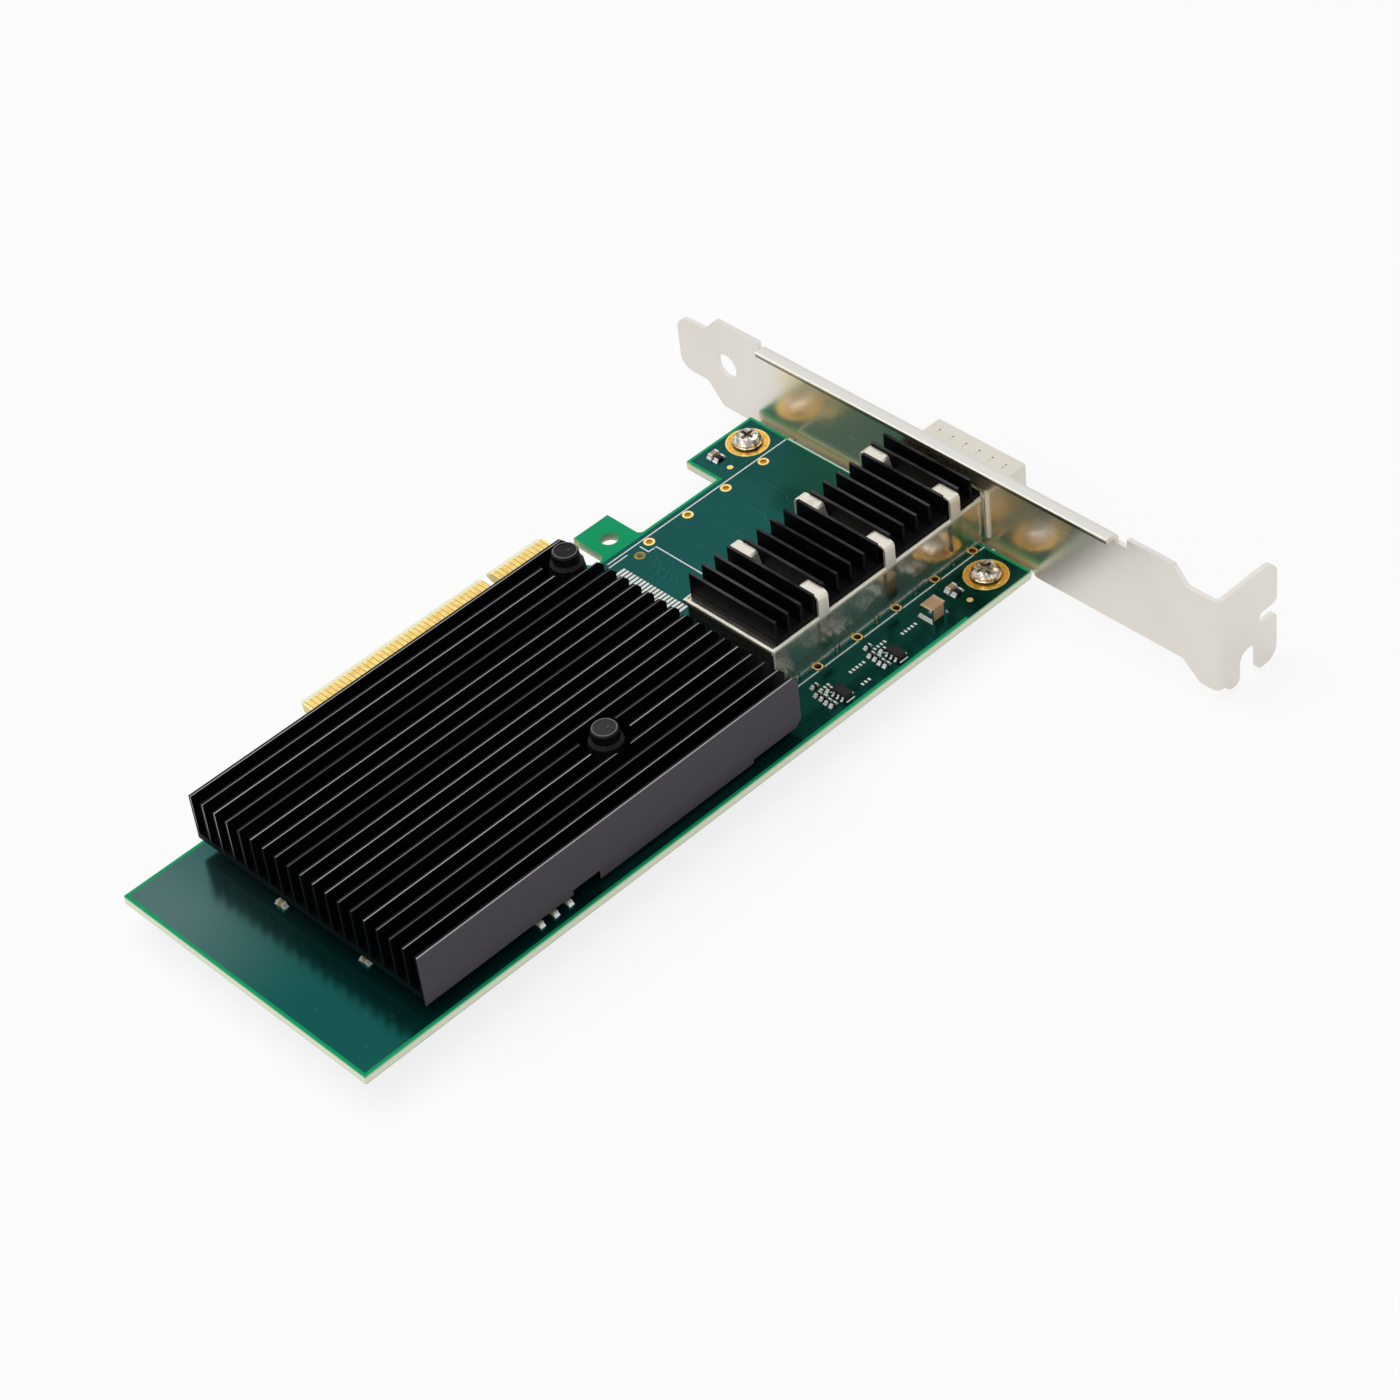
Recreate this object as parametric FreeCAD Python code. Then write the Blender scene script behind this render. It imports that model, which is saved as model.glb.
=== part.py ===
"""Network interface card with one quad small-form-factor port and two finned heat sinks.

Millimetres. The card is modelled lying flat with its component side up:
X runs along the card towards the bracket, 0 at the middle of the key notch.
Y runs from the long free edge (0) to the gold edge connector.
Z is 0 on the component face of the board.
save() then moves every piece so that the row's origin is the tip of the edge
connector at the key notch, on the component face.
"""
import FreeCAD, Part
import os
from math import cos, pi, sin, tan

V = FreeCAD.Vector
SEAT_GAP = 0.02            # clearance between stacked pieces that are pressed together
CHORD_RADIUS = 0.8         # rounds up to this size are drawn as two chords

# Board
BOARD_THICKNESS = 1.57
BOARD_LEFT = 85.09         # key notch to the plain end
BOARD_RIGHT = 57.15        # key notch to the bracket end
CARD_HEIGHT = 68.9         # free edge to the tip of the edge connector
TONGUE_DEPTH = 12.9        # board shoulder to the tip of the edge connector
FOOT_REACH = 7.5           # screw foot beyond the shoulder
FOOT_WIDTH = 15.35
HOOK_X = (15.9, 23.65)     # retention hook beside the edge connector
HOOK_REACH = 7.8
HOOK_HOLE_RADIUS = 1.57

# Edge connector: eight-lane contact count on either side of the key
KEY_WIDTH = 1.9
KEY_DEPTH = 8.45
CONTACT_PITCH = 1.0
CONTACTS_SHORT = 11
CONTACTS_LONG = 38
KEY_TO_CONTACT = 1.5       # middle of the key to the middle of the first contact
CONTACT_MARGIN = 1.1       # middle of the last contact to the tongue's end
CONTACT_WIDTH = 0.7
CONTACT_LENGTH = 5.6
PLATING = 0.05
BEVEL_LENGTH = 1.3
BEVEL_DEPTH = 0.45
TONGUE_CHAMFER = 1.2

# Bracket
SHEET = 0.86
BRACKET_GAP = 1.04         # board end to the bracket's inner face
BRACKET_LOW = -2.0
BRACKET_TOP = 16.2
TAB_PLANE = -37.8          # outer face of the folded screw tab
TAB_REACH = 13.3           # tab beyond the bracket's outer face
TAB_SHIFT = 3.2            # the tab end sits this much lower than the body
TAB_DROP = 1.9             # the tab's lobes hang below the tab end
TAB_JOG_LOW = (3.75, 7.15)           # tab to the start and end of the lower edge's jog
TAB_JOG_TOP = (6.35, 9.05)           # the same for the top edge
TAB_SLOT = 4.2             # width of the screw slot
TAB_SLOT_INSET = 6.85      # tab's free end to the middle of the slot
TAB_SLOT_DEPTH = 4.35      # tab's lower edge to the middle of the slot's round end
TAB_NOTCH = (8.7, 10.85)             # top edge to the notch in the free end
TAB_NOTCH_DEPTH = 4.3
FLANGE_DEPTH = 2.9
FLANGE_FROM_TAB = 20.6     # tab to the flange's near end
FLANGE_END_MARGIN = 3.9    # screw foot to the flange's far end
FLANGE_RELIEF = 1.4
TONGUE_START = 7.65        # screw foot to the bracket's far shoulder
TONGUE_LENGTH = 9.8
TONGUE_Z = (2.0, 12.7)
TONGUE_HOLE_RADIUS = 2.3
TONGUE_HOLE_INSET = 1.75   # shoulder back to the hole
SCREW_INSET_X = 5.25       # board end to the bracket screws
SCREW_INSET_Y = 4.9        # free edge to the near screw
SCREW_INSET_FOOT = 4.5     # foot edge to the far screw
SCREW_RADIUS = 1.5
SCREW_HEAD_RADIUS = 2.4
SCREW_HEAD_HEIGHT = 1.7
SCREW_CLEARANCE = 0.1
SCREW_PAD_RADIUS = 3.8
SCREW_LENGTH = 3.8
EAR_WIDTH = 7.8
EAR_REACH = 4.6            # ear beyond the screw
RELIEF = 0.6               # slit beside each fold

# Port cage
CAGE_WIDTH = 19.1
CAGE_NEAR = 10.6           # free edge to the cage's near wall
CAGE_TOP = 9.6
CAGE_LENGTH = 58.2
CAGE_NOSE = 9.16           # nose beyond the bracket's outer face
CAGE_SHEET = 0.3
CAGE_LIFT = 0.12           # cage floor above the board
PORT_CLEARANCE = 0.35      # cage to the bracket's opening
CAGE_PIN_WIDTH = 0.7
CAGE_PIN_LENGTH = 1.1      # below the board
RING_PITCH = 9.0           # ground rings along the port
RING_COUNT = 5
RING_FIRST = 2.25          # board end to the first ring
RING_OUTER = 1.0
RING_HOLE = 0.6

# Heat sink on the cage, and the clip that holds it
STRAP_PITCH = 15.1
STRAP_COUNT = 3
STRAP_WIDTH = 2.2
STRAP_SHEET = 0.43
STRAP_FRONT = 7.0          # bracket's inner face to the first strap
STRAP_TOP = 13.9
STRAP_SHOULDER = 4.5       # flat run at each end of a strap
STRAP_FOOT = 3.0
CAGE_FIN_TOP = 14.4
CAGE_FIN = 0.5
CAGE_FIN_PITCH = 2.8
CAGE_FIN_TO_STRAP = 0.12
CAGE_SINK_FRONT = 0.65     # bracket's inner face to the heat sink
CAGE_SINK_WIDTH = 18.8
CAGE_SINK_NARROW = 17.4    # between the straps
CAGE_BASE = 1.1
PEDESTAL_DROP = 0.5        # pedestal below the cage's outer top face

# Main heat sink
SINK_LENGTH = 77.9
SINK_TO_CAGE = 3.0
SINK_NEAR = 2.38           # free edge to the heat sink
SINK_FINS = 19
SINK_PITCH = 2.875
SINK_FIN = 0.5
SINK_FLOOR = 2.5           # underside of the base
SINK_BASE = 1.2
SINK_TOP = 11.4
APRON = (1.45, 2.3, 0.55, 1.25)            # lower edge of the near wall, bay by bay
APRON_BREAKS = (29.4, 34.9)                # from the plain end
APRON_END = 10.6           # the last bay, at the port end

# Push pins
PIN_FAR_INSET = (3.9, 4.73)          # heat sink's port end and far side to the far pin
PIN_NEAR_INSET = (28.4, 12.62)       # heat sink's port end and near side to the near pin
PIN_TOP = 13.3
PIN_POCKET = 4.2
PIN_CAP = 2.3
PIN_SKIRT = (3.3, 5.4)     # radius at its foot, and the foot below the cap's top
PIN_SHAFT = 1.3
PIN_CLEARANCE = 0.15
PIN_TIP = -2.9
SPRING_WIRE = 0.25
SPRING_TURNS = 2

# Controller
LID = 19.0
SUBSTRATE = 25.0
SUBSTRATE_HEIGHT = 1.15
PAD_THICKNESS = 0.25

# Places that follow from the sizes above
SHOULDER = CARD_HEIGHT - TONGUE_DEPTH
FOOT = SHOULDER + FOOT_REACH
BOARD_BOTTOM = -BOARD_THICKNESS
FOOT_LEFT = BOARD_RIGHT - FOOT_WIDTH
TONGUE_SHORT = KEY_TO_CONTACT + (CONTACTS_SHORT - 1) * CONTACT_PITCH + CONTACT_MARGIN
TONGUE_LONG = KEY_TO_CONTACT + (CONTACTS_LONG - 1) * CONTACT_PITCH + CONTACT_MARGIN
INNER = BOARD_RIGHT + BRACKET_GAP
OUTER = INNER + SHEET
FLANGE_Y = (TAB_PLANE + FLANGE_FROM_TAB, FOOT - FLANGE_END_MARGIN)
SCREW_X = BOARD_RIGHT - SCREW_INSET_X
SCREWS = ((SCREW_X, SCREW_INSET_Y), (SCREW_X, FOOT - SCREW_INSET_FOOT))
CAGE_Y = (CAGE_NEAR, CAGE_NEAR + CAGE_WIDTH)
CAGE_MIDDLE = CAGE_NEAR + CAGE_WIDTH / 2
CAGE_X = (OUTER + CAGE_NOSE - CAGE_LENGTH, OUTER + CAGE_NOSE)
STRAPS = [INNER - STRAP_FRONT - i * STRAP_PITCH for i in range(STRAP_COUNT)]
SINK_X = (CAGE_X[0] - SINK_TO_CAGE - SINK_LENGTH, CAGE_X[0] - SINK_TO_CAGE)
SINK_FAR = SINK_NEAR + (SINK_FINS - 1) * SINK_PITCH + SINK_FIN
PIN_FAR = (SINK_X[1] - PIN_FAR_INSET[0], SINK_FAR - PIN_FAR_INSET[1])
PIN_NEAR = (SINK_X[1] - PIN_NEAR_INSET[0], SINK_NEAR + PIN_NEAR_INSET[1])
PINS = (PIN_FAR, PIN_NEAR)
CONTROLLER = ((PIN_FAR[0] + PIN_NEAR[0]) / 2, (PIN_FAR[1] + PIN_NEAR[1]) / 2)
RINGS_NEAR = [(BOARD_RIGHT - RING_FIRST - i * RING_PITCH, CAGE_Y[0] - 0.15) for i in range(RING_COUNT)]
RINGS_FAR = [(BOARD_RIGHT - 7.25 - i * 8.9, SHOULDER - 2.7) for i in range(RING_COUNT - 1)]
GROUND_RINGS = RINGS_NEAR + RINGS_FAR
REGULATORS = ((BOARD_RIGHT - 28.5, 2.95), (BOARD_RIGHT - 40.5, 3.05))
FLASH = (CONTROLLER[0] - 26, CONTROLLER[1] - 20)
OSCILLATOR = (CONTROLLER[0], CONTROLLER[1] - 21)
INDUCTORS = [(CONTROLLER[0] - 28 - 8 * i, CONTROLLER[1] + shift) for i in range(3) for shift in (2, 11)]
HOOK_HOLE = ((HOOK_X[0] + HOOK_X[1]) / 2 - 0.18, SHOULDER + 3.1)
PLATED_HOLE = (HOOK_HOLE[0] + 0.55, SHOULDER - 3.7)
PLATED_HOLE_RADIUS = 0.7


def box(x, y, z):
    """Block between a low and a high value along each axis."""
    return Part.makeBox(x[1] - x[0], y[1] - y[0], z[1] - z[0], V(x[0], y[0], z[0]))


def block(centre, size, z):
    """Upright block about a centre in plan."""
    x, y = centre
    return box((x - size[0] / 2, x + size[0] / 2), (y - size[1] / 2, y + size[1] / 2), z)


def rod(centre, radius, z):
    return Part.makeCylinder(radius, z[1] - z[0], V(centre[0], centre[1], z[0]))


def rim(centre, radius, z, sides):
    """Closed many-sided outline about an upright axis."""
    turns = [2 * pi * i / sides for i in range(sides + 1)]
    return Part.makePolygon([V(centre[0] + radius * cos(a), centre[1] + radius * sin(a), z) for a in turns])


def many_sided(centre, radius, z, sides=12):
    """Upright prism standing in for a very small round, which keeps the facets few."""
    return Part.Face(rim(centre, radius, z[0], sides)).extrude(V(0, 0, z[1] - z[0]))


def turned(centre, profile, sides=16):
    """Turned fastener built up in bands, from (radius, height) points that go upwards."""
    bands = []
    for (low_radius, low), (high_radius, high) in zip(profile, profile[1:]):
        if high > low:
            rims = [rim(centre, low_radius, low, sides), rim(centre, high_radius, high, sides)]
            bands.append(Part.makeLoft(rims, True, True))
    return fused(bands)


def fused(pieces):
    return pieces[0].multiFuse(pieces[1:]).removeSplitter() if len(pieces) > 1 else pieces[0]


def save(name, *pieces):
    """Write one node, moved so that the connector tip at the key is the origin."""
    shape = Part.Compound(list(pieces)) if len(pieces) > 1 else pieces[0]
    shape.translate(V(0, -CARD_HEIGHT, 0))
    shape.exportStep("parts/" + name + ".step")


def bend_edges(start, middle, end, radius):
    if radius > CHORD_RADIUS:
        return [Part.Arc(start, middle, end).toShape()]
    return [Part.LineSegment(start, middle).toShape(), Part.LineSegment(middle, end).toShape()]


def rounded(corners, place):
    """Face through (a, b, radius) corners, with a tangent arc at each radius.

    The smallest arcs are two chords, which keeps the facets few.
    """
    count = len(corners)
    edges, last, first = [], None, None
    for i in range(count):
        here = V(corners[i][0], corners[i][1], 0)
        back = V(corners[i - 1][0], corners[i - 1][1], 0) - here
        ahead = V(corners[(i + 1) % count][0], corners[(i + 1) % count][1], 0) - here
        half = back.getAngle(ahead) / 2
        radius = corners[i][2] if len(corners[i]) > 2 else 0
        back.normalize()
        ahead.normalize()
        start = here + back * (radius / tan(half))
        end = here + ahead * (radius / tan(half))
        if last is not None and (start - last).Length > 1e-6:
            edges.append(Part.LineSegment(place(last), place(start)).toShape())
        if radius:
            inward = (back + ahead).normalize()
            middle = here + inward * (radius / sin(half) - radius)
            edges += bend_edges(place(start), place(middle), place(end), radius)
        first = start if first is None else first
        last = end
    edges.append(Part.LineSegment(place(last), place(first)).toShape())
    return Part.Face(Part.Wire(edges))


def strip(path, thickness, bend=None):
    """Corners of a folded sheet's section: the path is one face, the sheet lies to its right.

    bend is the inner radius of each fold; without it the folds are sharp.
    """
    across = []
    for i, point in enumerate(path):
        here = V(*point, 0)
        runs = []
        if i > 0:
            runs.append((here - V(*path[i - 1], 0)).normalize())
        if i < len(path) - 1:
            runs.append((V(*path[i + 1], 0) - here).normalize())
        rights = [V(run.y, -run.x, 0) for run in runs]
        middle = (rights[0] + rights[-1]).normalize()
        shift = middle * (thickness / middle.dot(rights[0]))
        turn = runs[0].cross(runs[-1]).z
        across.append((here + shift, turn))
    left, right = [], []
    for point, (shifted, turn) in zip(path, across):
        folded = bend is not None and abs(turn) > 1e-6
        left.append((point[0], point[1], (bend + thickness if turn < 0 else bend) if folded else 0))
        right.append((shifted.x, shifted.y, (bend if turn < 0 else bend + thickness) if folded else 0))
    return left + right[::-1]


def plan(a):
    """(x, y) to a point in the board's plane."""
    return V(a.x, a.y, 0)


def end_on(a):
    """(y, z) to a point in the bracket's plane."""
    return V(0, a.x, a.y)


def side_on(a):
    """(x, z) to a point in a plane across the bracket."""
    return V(a.x, 0, a.y)


# Board -----------------------------------------------------------------------------------------

def cage_pin_places():
    """Press-fit pins of the cage, shared by the cage and the board."""
    ys = (CAGE_Y[0] + CAGE_SHEET / 2, CAGE_Y[1] - CAGE_SHEET / 2)
    return [(x - RING_PITCH / 2, y) for x, _ in RINGS_NEAR for y in ys]


def circuit_board():
    key = KEY_WIDTH / 2
    tip = CARD_HEIGHT
    slot = (HOOK_X[0] - TONGUE_SHORT) / 2 - 0.02
    corners = [
        (-BOARD_LEFT, 0), (BOARD_RIGHT, 0), (BOARD_RIGHT, FOOT), (FOOT_LEFT, FOOT),
        (FOOT_LEFT, SHOULDER, 0.3), (HOOK_X[1], SHOULDER, 1.0),
        (HOOK_X[1], SHOULDER + HOOK_REACH), (HOOK_X[0], SHOULDER + HOOK_REACH),
        (HOOK_X[0], SHOULDER, slot), (TONGUE_SHORT, SHOULDER, slot),
        (TONGUE_SHORT, tip - TONGUE_CHAMFER), (TONGUE_SHORT - TONGUE_CHAMFER / 2, tip),
        (key, tip), (key, tip - KEY_DEPTH, key - 0.02),
        (-key, tip - KEY_DEPTH, key - 0.02), (-key, tip),
        (-TONGUE_LONG + TONGUE_CHAMFER / 2, tip), (-TONGUE_LONG, tip - TONGUE_CHAMFER),
        (-TONGUE_LONG, SHOULDER, 0.5), (-BOARD_LEFT, SHOULDER),
    ]
    board = rounded(corners, plan).extrude(V(0, 0, -BOARD_THICKNESS))
    through = (BOARD_BOTTOM, 0)
    cuts = [many_sided(place, CAGE_PIN_WIDTH / 2 + 0.1, through, 6) for place in cage_pin_places()]
    cuts += [many_sided(place, RING_HOLE, through) for place in GROUND_RINGS]
    cuts += [many_sided(place, SCREW_RADIUS + SCREW_CLEARANCE, through, 20) for place in SCREWS]
    cuts += [many_sided(place, PIN_SHAFT + PIN_CLEARANCE, through, 16) for place in PINS]
    cuts.append(rod(HOOK_HOLE, HOOK_HOLE_RADIUS, through))
    cuts.append(many_sided(PLATED_HOLE, PLATED_HOLE_RADIUS, through))
    for face, inward in ((0, -1), (BOARD_BOTTOM, 1)):
        wedge = [V(0, tip - BEVEL_LENGTH, face), V(0, tip, face + inward * BEVEL_DEPTH), V(0, tip, face)]
        bevel = Part.Face(Part.makePolygon(wedge + wedge[:1])).extrude(V(TONGUE_LONG + TONGUE_SHORT, 0, 0))
        bevel.translate(V(-TONGUE_LONG, 0, 0))
        cuts.append(bevel)
    return board.cut(cuts)


def edge_contacts():
    y = (CARD_HEIGHT - BEVEL_LENGTH - CONTACT_LENGTH + 0.6, CARD_HEIGHT - BEVEL_LENGTH - 0.05)
    runs = ((1, CONTACTS_SHORT), (-1, CONTACTS_LONG))
    centres = [side * (KEY_TO_CONTACT + i * CONTACT_PITCH) for side, count in runs for i in range(count)]
    faces = ((0, PLATING), (BOARD_BOTTOM - PLATING, BOARD_BOTTOM))
    half = CONTACT_WIDTH / 2
    return [box((x - half, x + half), y, z) for z in faces for x in centres]


def ground_rings():
    """Flat gold rings about the plated holes, on both faces."""
    faces = ((0, PLATING), (BOARD_BOTTOM - PLATING, BOARD_BOTTOM))
    return [many_sided(place, RING_OUTER, z).cut(many_sided(place, RING_HOLE, z))
            for z in faces for place in GROUND_RINGS]


def fiducials():
    places = ((SCREW_X - 6.6, SHOULDER + 0.6), (SCREW_X - 6.15, 2.8))
    return [many_sided(place, 0.55, (0, PLATING)) for place in places]


def screw_pads():
    hole = SCREW_RADIUS + SCREW_CLEARANCE
    return [many_sided(place, SCREW_PAD_RADIUS, (0, PLATING), 32).cut(many_sided(place, hole, (0, PLATING), 20))
            for place in SCREWS]


# Bracket ---------------------------------------------------------------------------------------

def bracket_body():
    """Flat of the bracket in the (y, z) plane, before its folds are added."""
    step = TAB_SHIFT
    fold_top = BRACKET_TOP - 1.7
    ear_join = BOARD_BOTTOM + 0.6
    near, far = SCREWS[0][1], SCREWS[1][1]
    half = EAR_WIDTH / 2
    shoulder = FOOT + TONGUE_START
    tip = shoulder + TONGUE_LENGTH
    tab_root = TAB_PLANE + SHEET + 0.5
    low_jog, top_jog = [[TAB_PLANE + reach for reach in jog] for jog in (TAB_JOG_LOW, TAB_JOG_TOP)]
    flange = FLANGE_Y[0] - FLANGE_RELIEF - 1.0, FLANGE_Y[1] + FLANGE_RELIEF
    corners = [
        (tab_root, BRACKET_LOW - step), (low_jog[0], BRACKET_LOW - step, 1.5), (low_jog[1], BRACKET_LOW, 1.5),
        (near - half - RELIEF, BRACKET_LOW, 0.8), (near - half - RELIEF, ear_join, 0.25),
        (near + half + RELIEF, ear_join, 0.25), (near + half + RELIEF, BRACKET_LOW),
        (far - half - RELIEF, BRACKET_LOW), (far - half - RELIEF, ear_join, 0.25),
        (far + half + RELIEF, ear_join, 0.25), (far + half + RELIEF, BRACKET_LOW),
        (shoulder, BRACKET_LOW, 1.0), (shoulder + 3.4, TONGUE_Z[0], 1.5),
        (tip, TONGUE_Z[0], 2.6), (tip, TONGUE_Z[1], 2.6),
        (shoulder + 3.0, TONGUE_Z[1] + 0.3, 1.0), (shoulder, BRACKET_TOP, 1.0),
        (flange[1], BRACKET_TOP), (flange[1], fold_top), (flange[0], fold_top), (flange[0], BRACKET_TOP),
        (top_jog[1], BRACKET_TOP, 1.0), (top_jog[0], BRACKET_TOP - step, 1.0), (tab_root, BRACKET_TOP - step),
    ]
    body = rounded(corners, end_on).extrude(V(SHEET, 0, 0))
    body.translate(V(INNER, 0, 0))
    return body


def bracket_port():
    """Opening for the cage nose."""
    grow = PORT_CLEARANCE
    low, high = CAGE_LIFT - grow, CAGE_TOP + grow
    y0, y1 = CAGE_Y[0] - grow, CAGE_Y[1] + grow
    corners = [(y0, low, 0.5), (y1, low, 0.5), (y1, high, 0.5), (y0, high, 0.5)]
    opening = rounded(corners, end_on).extrude(V(SHEET + 2, 0, 0))
    opening.translate(V(INNER - 1, 0, 0))
    return opening


def fold(path, y):
    """Right-angled fold of the bracket's sheet, its section in (x, z), run along y."""
    piece = rounded(strip(path, SHEET, 0.4), side_on).extrude(V(0, y[1] - y[0], 0))
    piece.translate(V(0, y[0], 0))
    return piece


def bracket_ear(screw):
    """Lug under the board that a bracket screw threads into."""
    join = BOARD_BOTTOM + 0.6
    low = BOARD_BOTTOM - SHEET
    path = [(screw[0] - EAR_REACH, BOARD_BOTTOM), (INNER, BOARD_BOTTOM), (INNER, join)]
    ear = fold(path, (screw[1] - EAR_WIDTH / 2, screw[1] + EAR_WIDTH / 2))
    return ear.cut(rod(screw, SCREW_RADIUS, (low - 1, BOARD_BOTTOM + 1)))


def bracket_tab():
    """Screw tab folded outward at the bracket's end, with its open screw slot and side notch."""
    low = BRACKET_LOW - TAB_SHIFT
    top = BRACKET_TOP - TAB_SHIFT
    edge = OUTER + TAB_REACH
    drop = low - TAB_DROP
    slot = TAB_SLOT / 2
    slot_x = edge - TAB_SLOT_INSET
    slot_top = low + TAB_SLOT_DEPTH
    notch = [top - reach for reach in TAB_NOTCH]
    corners = [
        (INNER + SHEET + 0.5, low + 0.1), (OUTER + 2.0, drop + 0.5, 1.2), (slot_x - slot, drop + 0.4, 1.2),
        (slot_x - slot, slot_top, slot - 0.02), (slot_x + slot, slot_top, slot - 0.02),
        (slot_x + slot, drop, 1.2), (edge, drop, 2.4),
        (edge, notch[1], 1.2), (edge - TAB_NOTCH_DEPTH, notch[1], 1.0), (edge - TAB_NOTCH_DEPTH, notch[0], 1.0),
        (edge, notch[0], 1.2), (edge, top, 3.0), (INNER + SHEET + 0.5, top),
    ]
    tab = rounded(corners, side_on).extrude(V(0, SHEET, 0))
    tab.translate(V(0, TAB_PLANE, 0))
    bend = rounded(strip([(TAB_PLANE + SHEET + 0.5, INNER), (TAB_PLANE, INNER), (TAB_PLANE, OUTER + 0.5)],
                         SHEET, 0.4), lambda a: V(a.y, a.x, low)).extrude(V(0, 0, top - low))
    return [tab, bend]


def bracket():
    join = BRACKET_TOP - 1.7
    lip = OUTER - FLANGE_DEPTH
    section = [(OUTER, join), (OUTER, BRACKET_TOP, SHEET + 0.4), (lip, BRACKET_TOP, 0.2),
               (lip, BRACKET_TOP - SHEET), (INNER, BRACKET_TOP - SHEET, 0.4), (INNER, join)]
    flange = rounded(section, side_on).extrude(V(0, FLANGE_Y[1] - FLANGE_Y[0], 0))
    flange.translate(V(0, FLANGE_Y[0], 0))
    sheet = fused([bracket_body(), flange] + [bracket_ear(screw) for screw in SCREWS] + bracket_tab())
    hole = (FOOT + TONGUE_START - TONGUE_HOLE_INSET, (TONGUE_Z[0] + TONGUE_Z[1]) / 2)
    drill = Part.makeCylinder(TONGUE_HOLE_RADIUS, SHEET + 2, V(INNER - 1, hole[0], hole[1]), V(1, 0, 0))
    return sheet.cut([bracket_port(), drill])


def bracket_screws():
    screws = []
    for place in SCREWS:
        base = PLATING
        profile = [(SCREW_RADIUS - SEAT_GAP, base - SCREW_LENGTH), (SCREW_RADIUS - SEAT_GAP, base),
                   (SCREW_HEAD_RADIUS + 0.15, base), (SCREW_HEAD_RADIUS + 0.15, base + 0.45),
                   (SCREW_HEAD_RADIUS, base + 0.5), (SCREW_HEAD_RADIUS, base + 0.9),
                   (SCREW_HEAD_RADIUS * 0.8, base + SCREW_HEAD_HEIGHT - 0.15),
                   (SCREW_HEAD_RADIUS * 0.45, base + SCREW_HEAD_HEIGHT)]
        recess_z = (base + SCREW_HEAD_HEIGHT - 1.0, base + SCREW_HEAD_HEIGHT + 1)
        cross = [block(place, (2.6, 0.6), recess_z), block(place, (0.6, 2.6), recess_z)]
        screws.append(turned(place, profile, 20).cut(cross))
    return screws


# Port cage -------------------------------------------------------------------------------------

def cage_shell():
    """Top, sides and rear wall folded from one sheet, with pins, nose slits and a top window."""
    x0, x1 = CAGE_X
    y0, y1 = CAGE_Y
    t = CAGE_SHEET
    shell = box(CAGE_X, CAGE_Y, (CAGE_LIFT, CAGE_TOP))
    shell = shell.makeFillet(0.35, [edge for edge in shell.Edges if is_top_fold(edge)])
    hollow = box((x0 + t, x1 + 1), (y0 + t, y1 - t), (CAGE_LIFT - 1, CAGE_TOP - t))
    window = box(*pedestal_span(0.15), (CAGE_TOP - 1, CAGE_TOP + 1))
    cuts = [hollow, window]
    for i in range(6):
        y = y0 + (CAGE_WIDTH - 5 * 2.9) / 2 + i * 2.9
        cuts.append(block((x1 - 2.55, y), (1.3, 0.25), (CAGE_TOP - 1, CAGE_TOP + 1)))
    for z in (3.0, 6.5):
        cuts.append(box((x1 - 3.2, x1 - 1.9), (y0 - 1, y1 + 1), (z, z + 0.25)))
    pins = []
    for x, y in cage_pin_places():
        tip = BOARD_BOTTOM - CAGE_PIN_LENGTH
        pins.append(block((x, y), (CAGE_PIN_WIDTH, t), (tip, CAGE_LIFT)))
        cuts += [block((x + side * (CAGE_PIN_WIDTH / 2 + 0.1), y), (0.2, t + 1), (CAGE_LIFT - 1, CAGE_LIFT + 1.4))
                 for side in (-1, 1)]
    return fused([shell.cut(cuts)] + pins)


def is_top_fold(edge):
    """True for the two long top edges of the cage, where its sheet is folded down."""
    ends = [vertex.Point for vertex in edge.Vertexes]
    along_x = abs(ends[0].x - ends[1].x) > CAGE_LENGTH / 2
    return along_x and min(p.z for p in ends) > CAGE_TOP / 2


def pedestal_span(grow=0.0):
    """Plan of the heat sink's pedestal, and of the cage window round it."""
    x = (STRAPS[-1] - 2 - grow, STRAPS[0] - 3 + grow)
    y = (CAGE_MIDDLE - 6.5 - grow, CAGE_MIDDLE + 6.5 + grow)
    return x, y


def cage_floor():
    inset = CAGE_SHEET + SEAT_GAP
    x = (CAGE_X[0] + 14.0, CAGE_X[1])
    return box(x, (CAGE_Y[0] + inset, CAGE_Y[1] - inset), (CAGE_LIFT, CAGE_LIFT + CAGE_SHEET))


def port_gasket():
    """Folded collar that grounds the cage against the bracket's inner face."""
    wall = 0.4
    outer = SEAT_GAP + wall
    x = (INNER - 0.6, INNER - SEAT_GAP)
    low = 0.0
    frame = box(x, (CAGE_Y[0] - outer, CAGE_Y[1] + outer), (low, CAGE_TOP + outer))
    inside = box((x[0] - 1, x[1] + 1), (CAGE_Y[0] - SEAT_GAP, CAGE_Y[1] + SEAT_GAP), (low - 1, CAGE_TOP + SEAT_GAP))
    return frame.cut(inside)


def connector_housing():
    """Moulded host connector at the back of the cage, open towards the port."""
    x = (CAGE_X[0] + 2.2, CAGE_X[0] + 12.5)
    y = (CAGE_MIDDLE - 8.6, CAGE_MIDDLE + 8.6)
    body = box(x, y, (0, 6.6))
    mouth = box((x[1] - 5.2, x[1] + 1), (y[0] + 0.9, y[1] - 0.9), (2.6, 4.2))
    lead_in = box((x[1] - 0.5, x[1] + 1), (y[0] + 0.7, y[1] - 0.7), (2.2, 4.6))
    heel = box((x[0] - 1, x[0] + 1.6), (y[0] + 0.9, y[1] - 0.9), (-1, 5.4))
    return body.cut([mouth, lead_in, heel])


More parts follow.
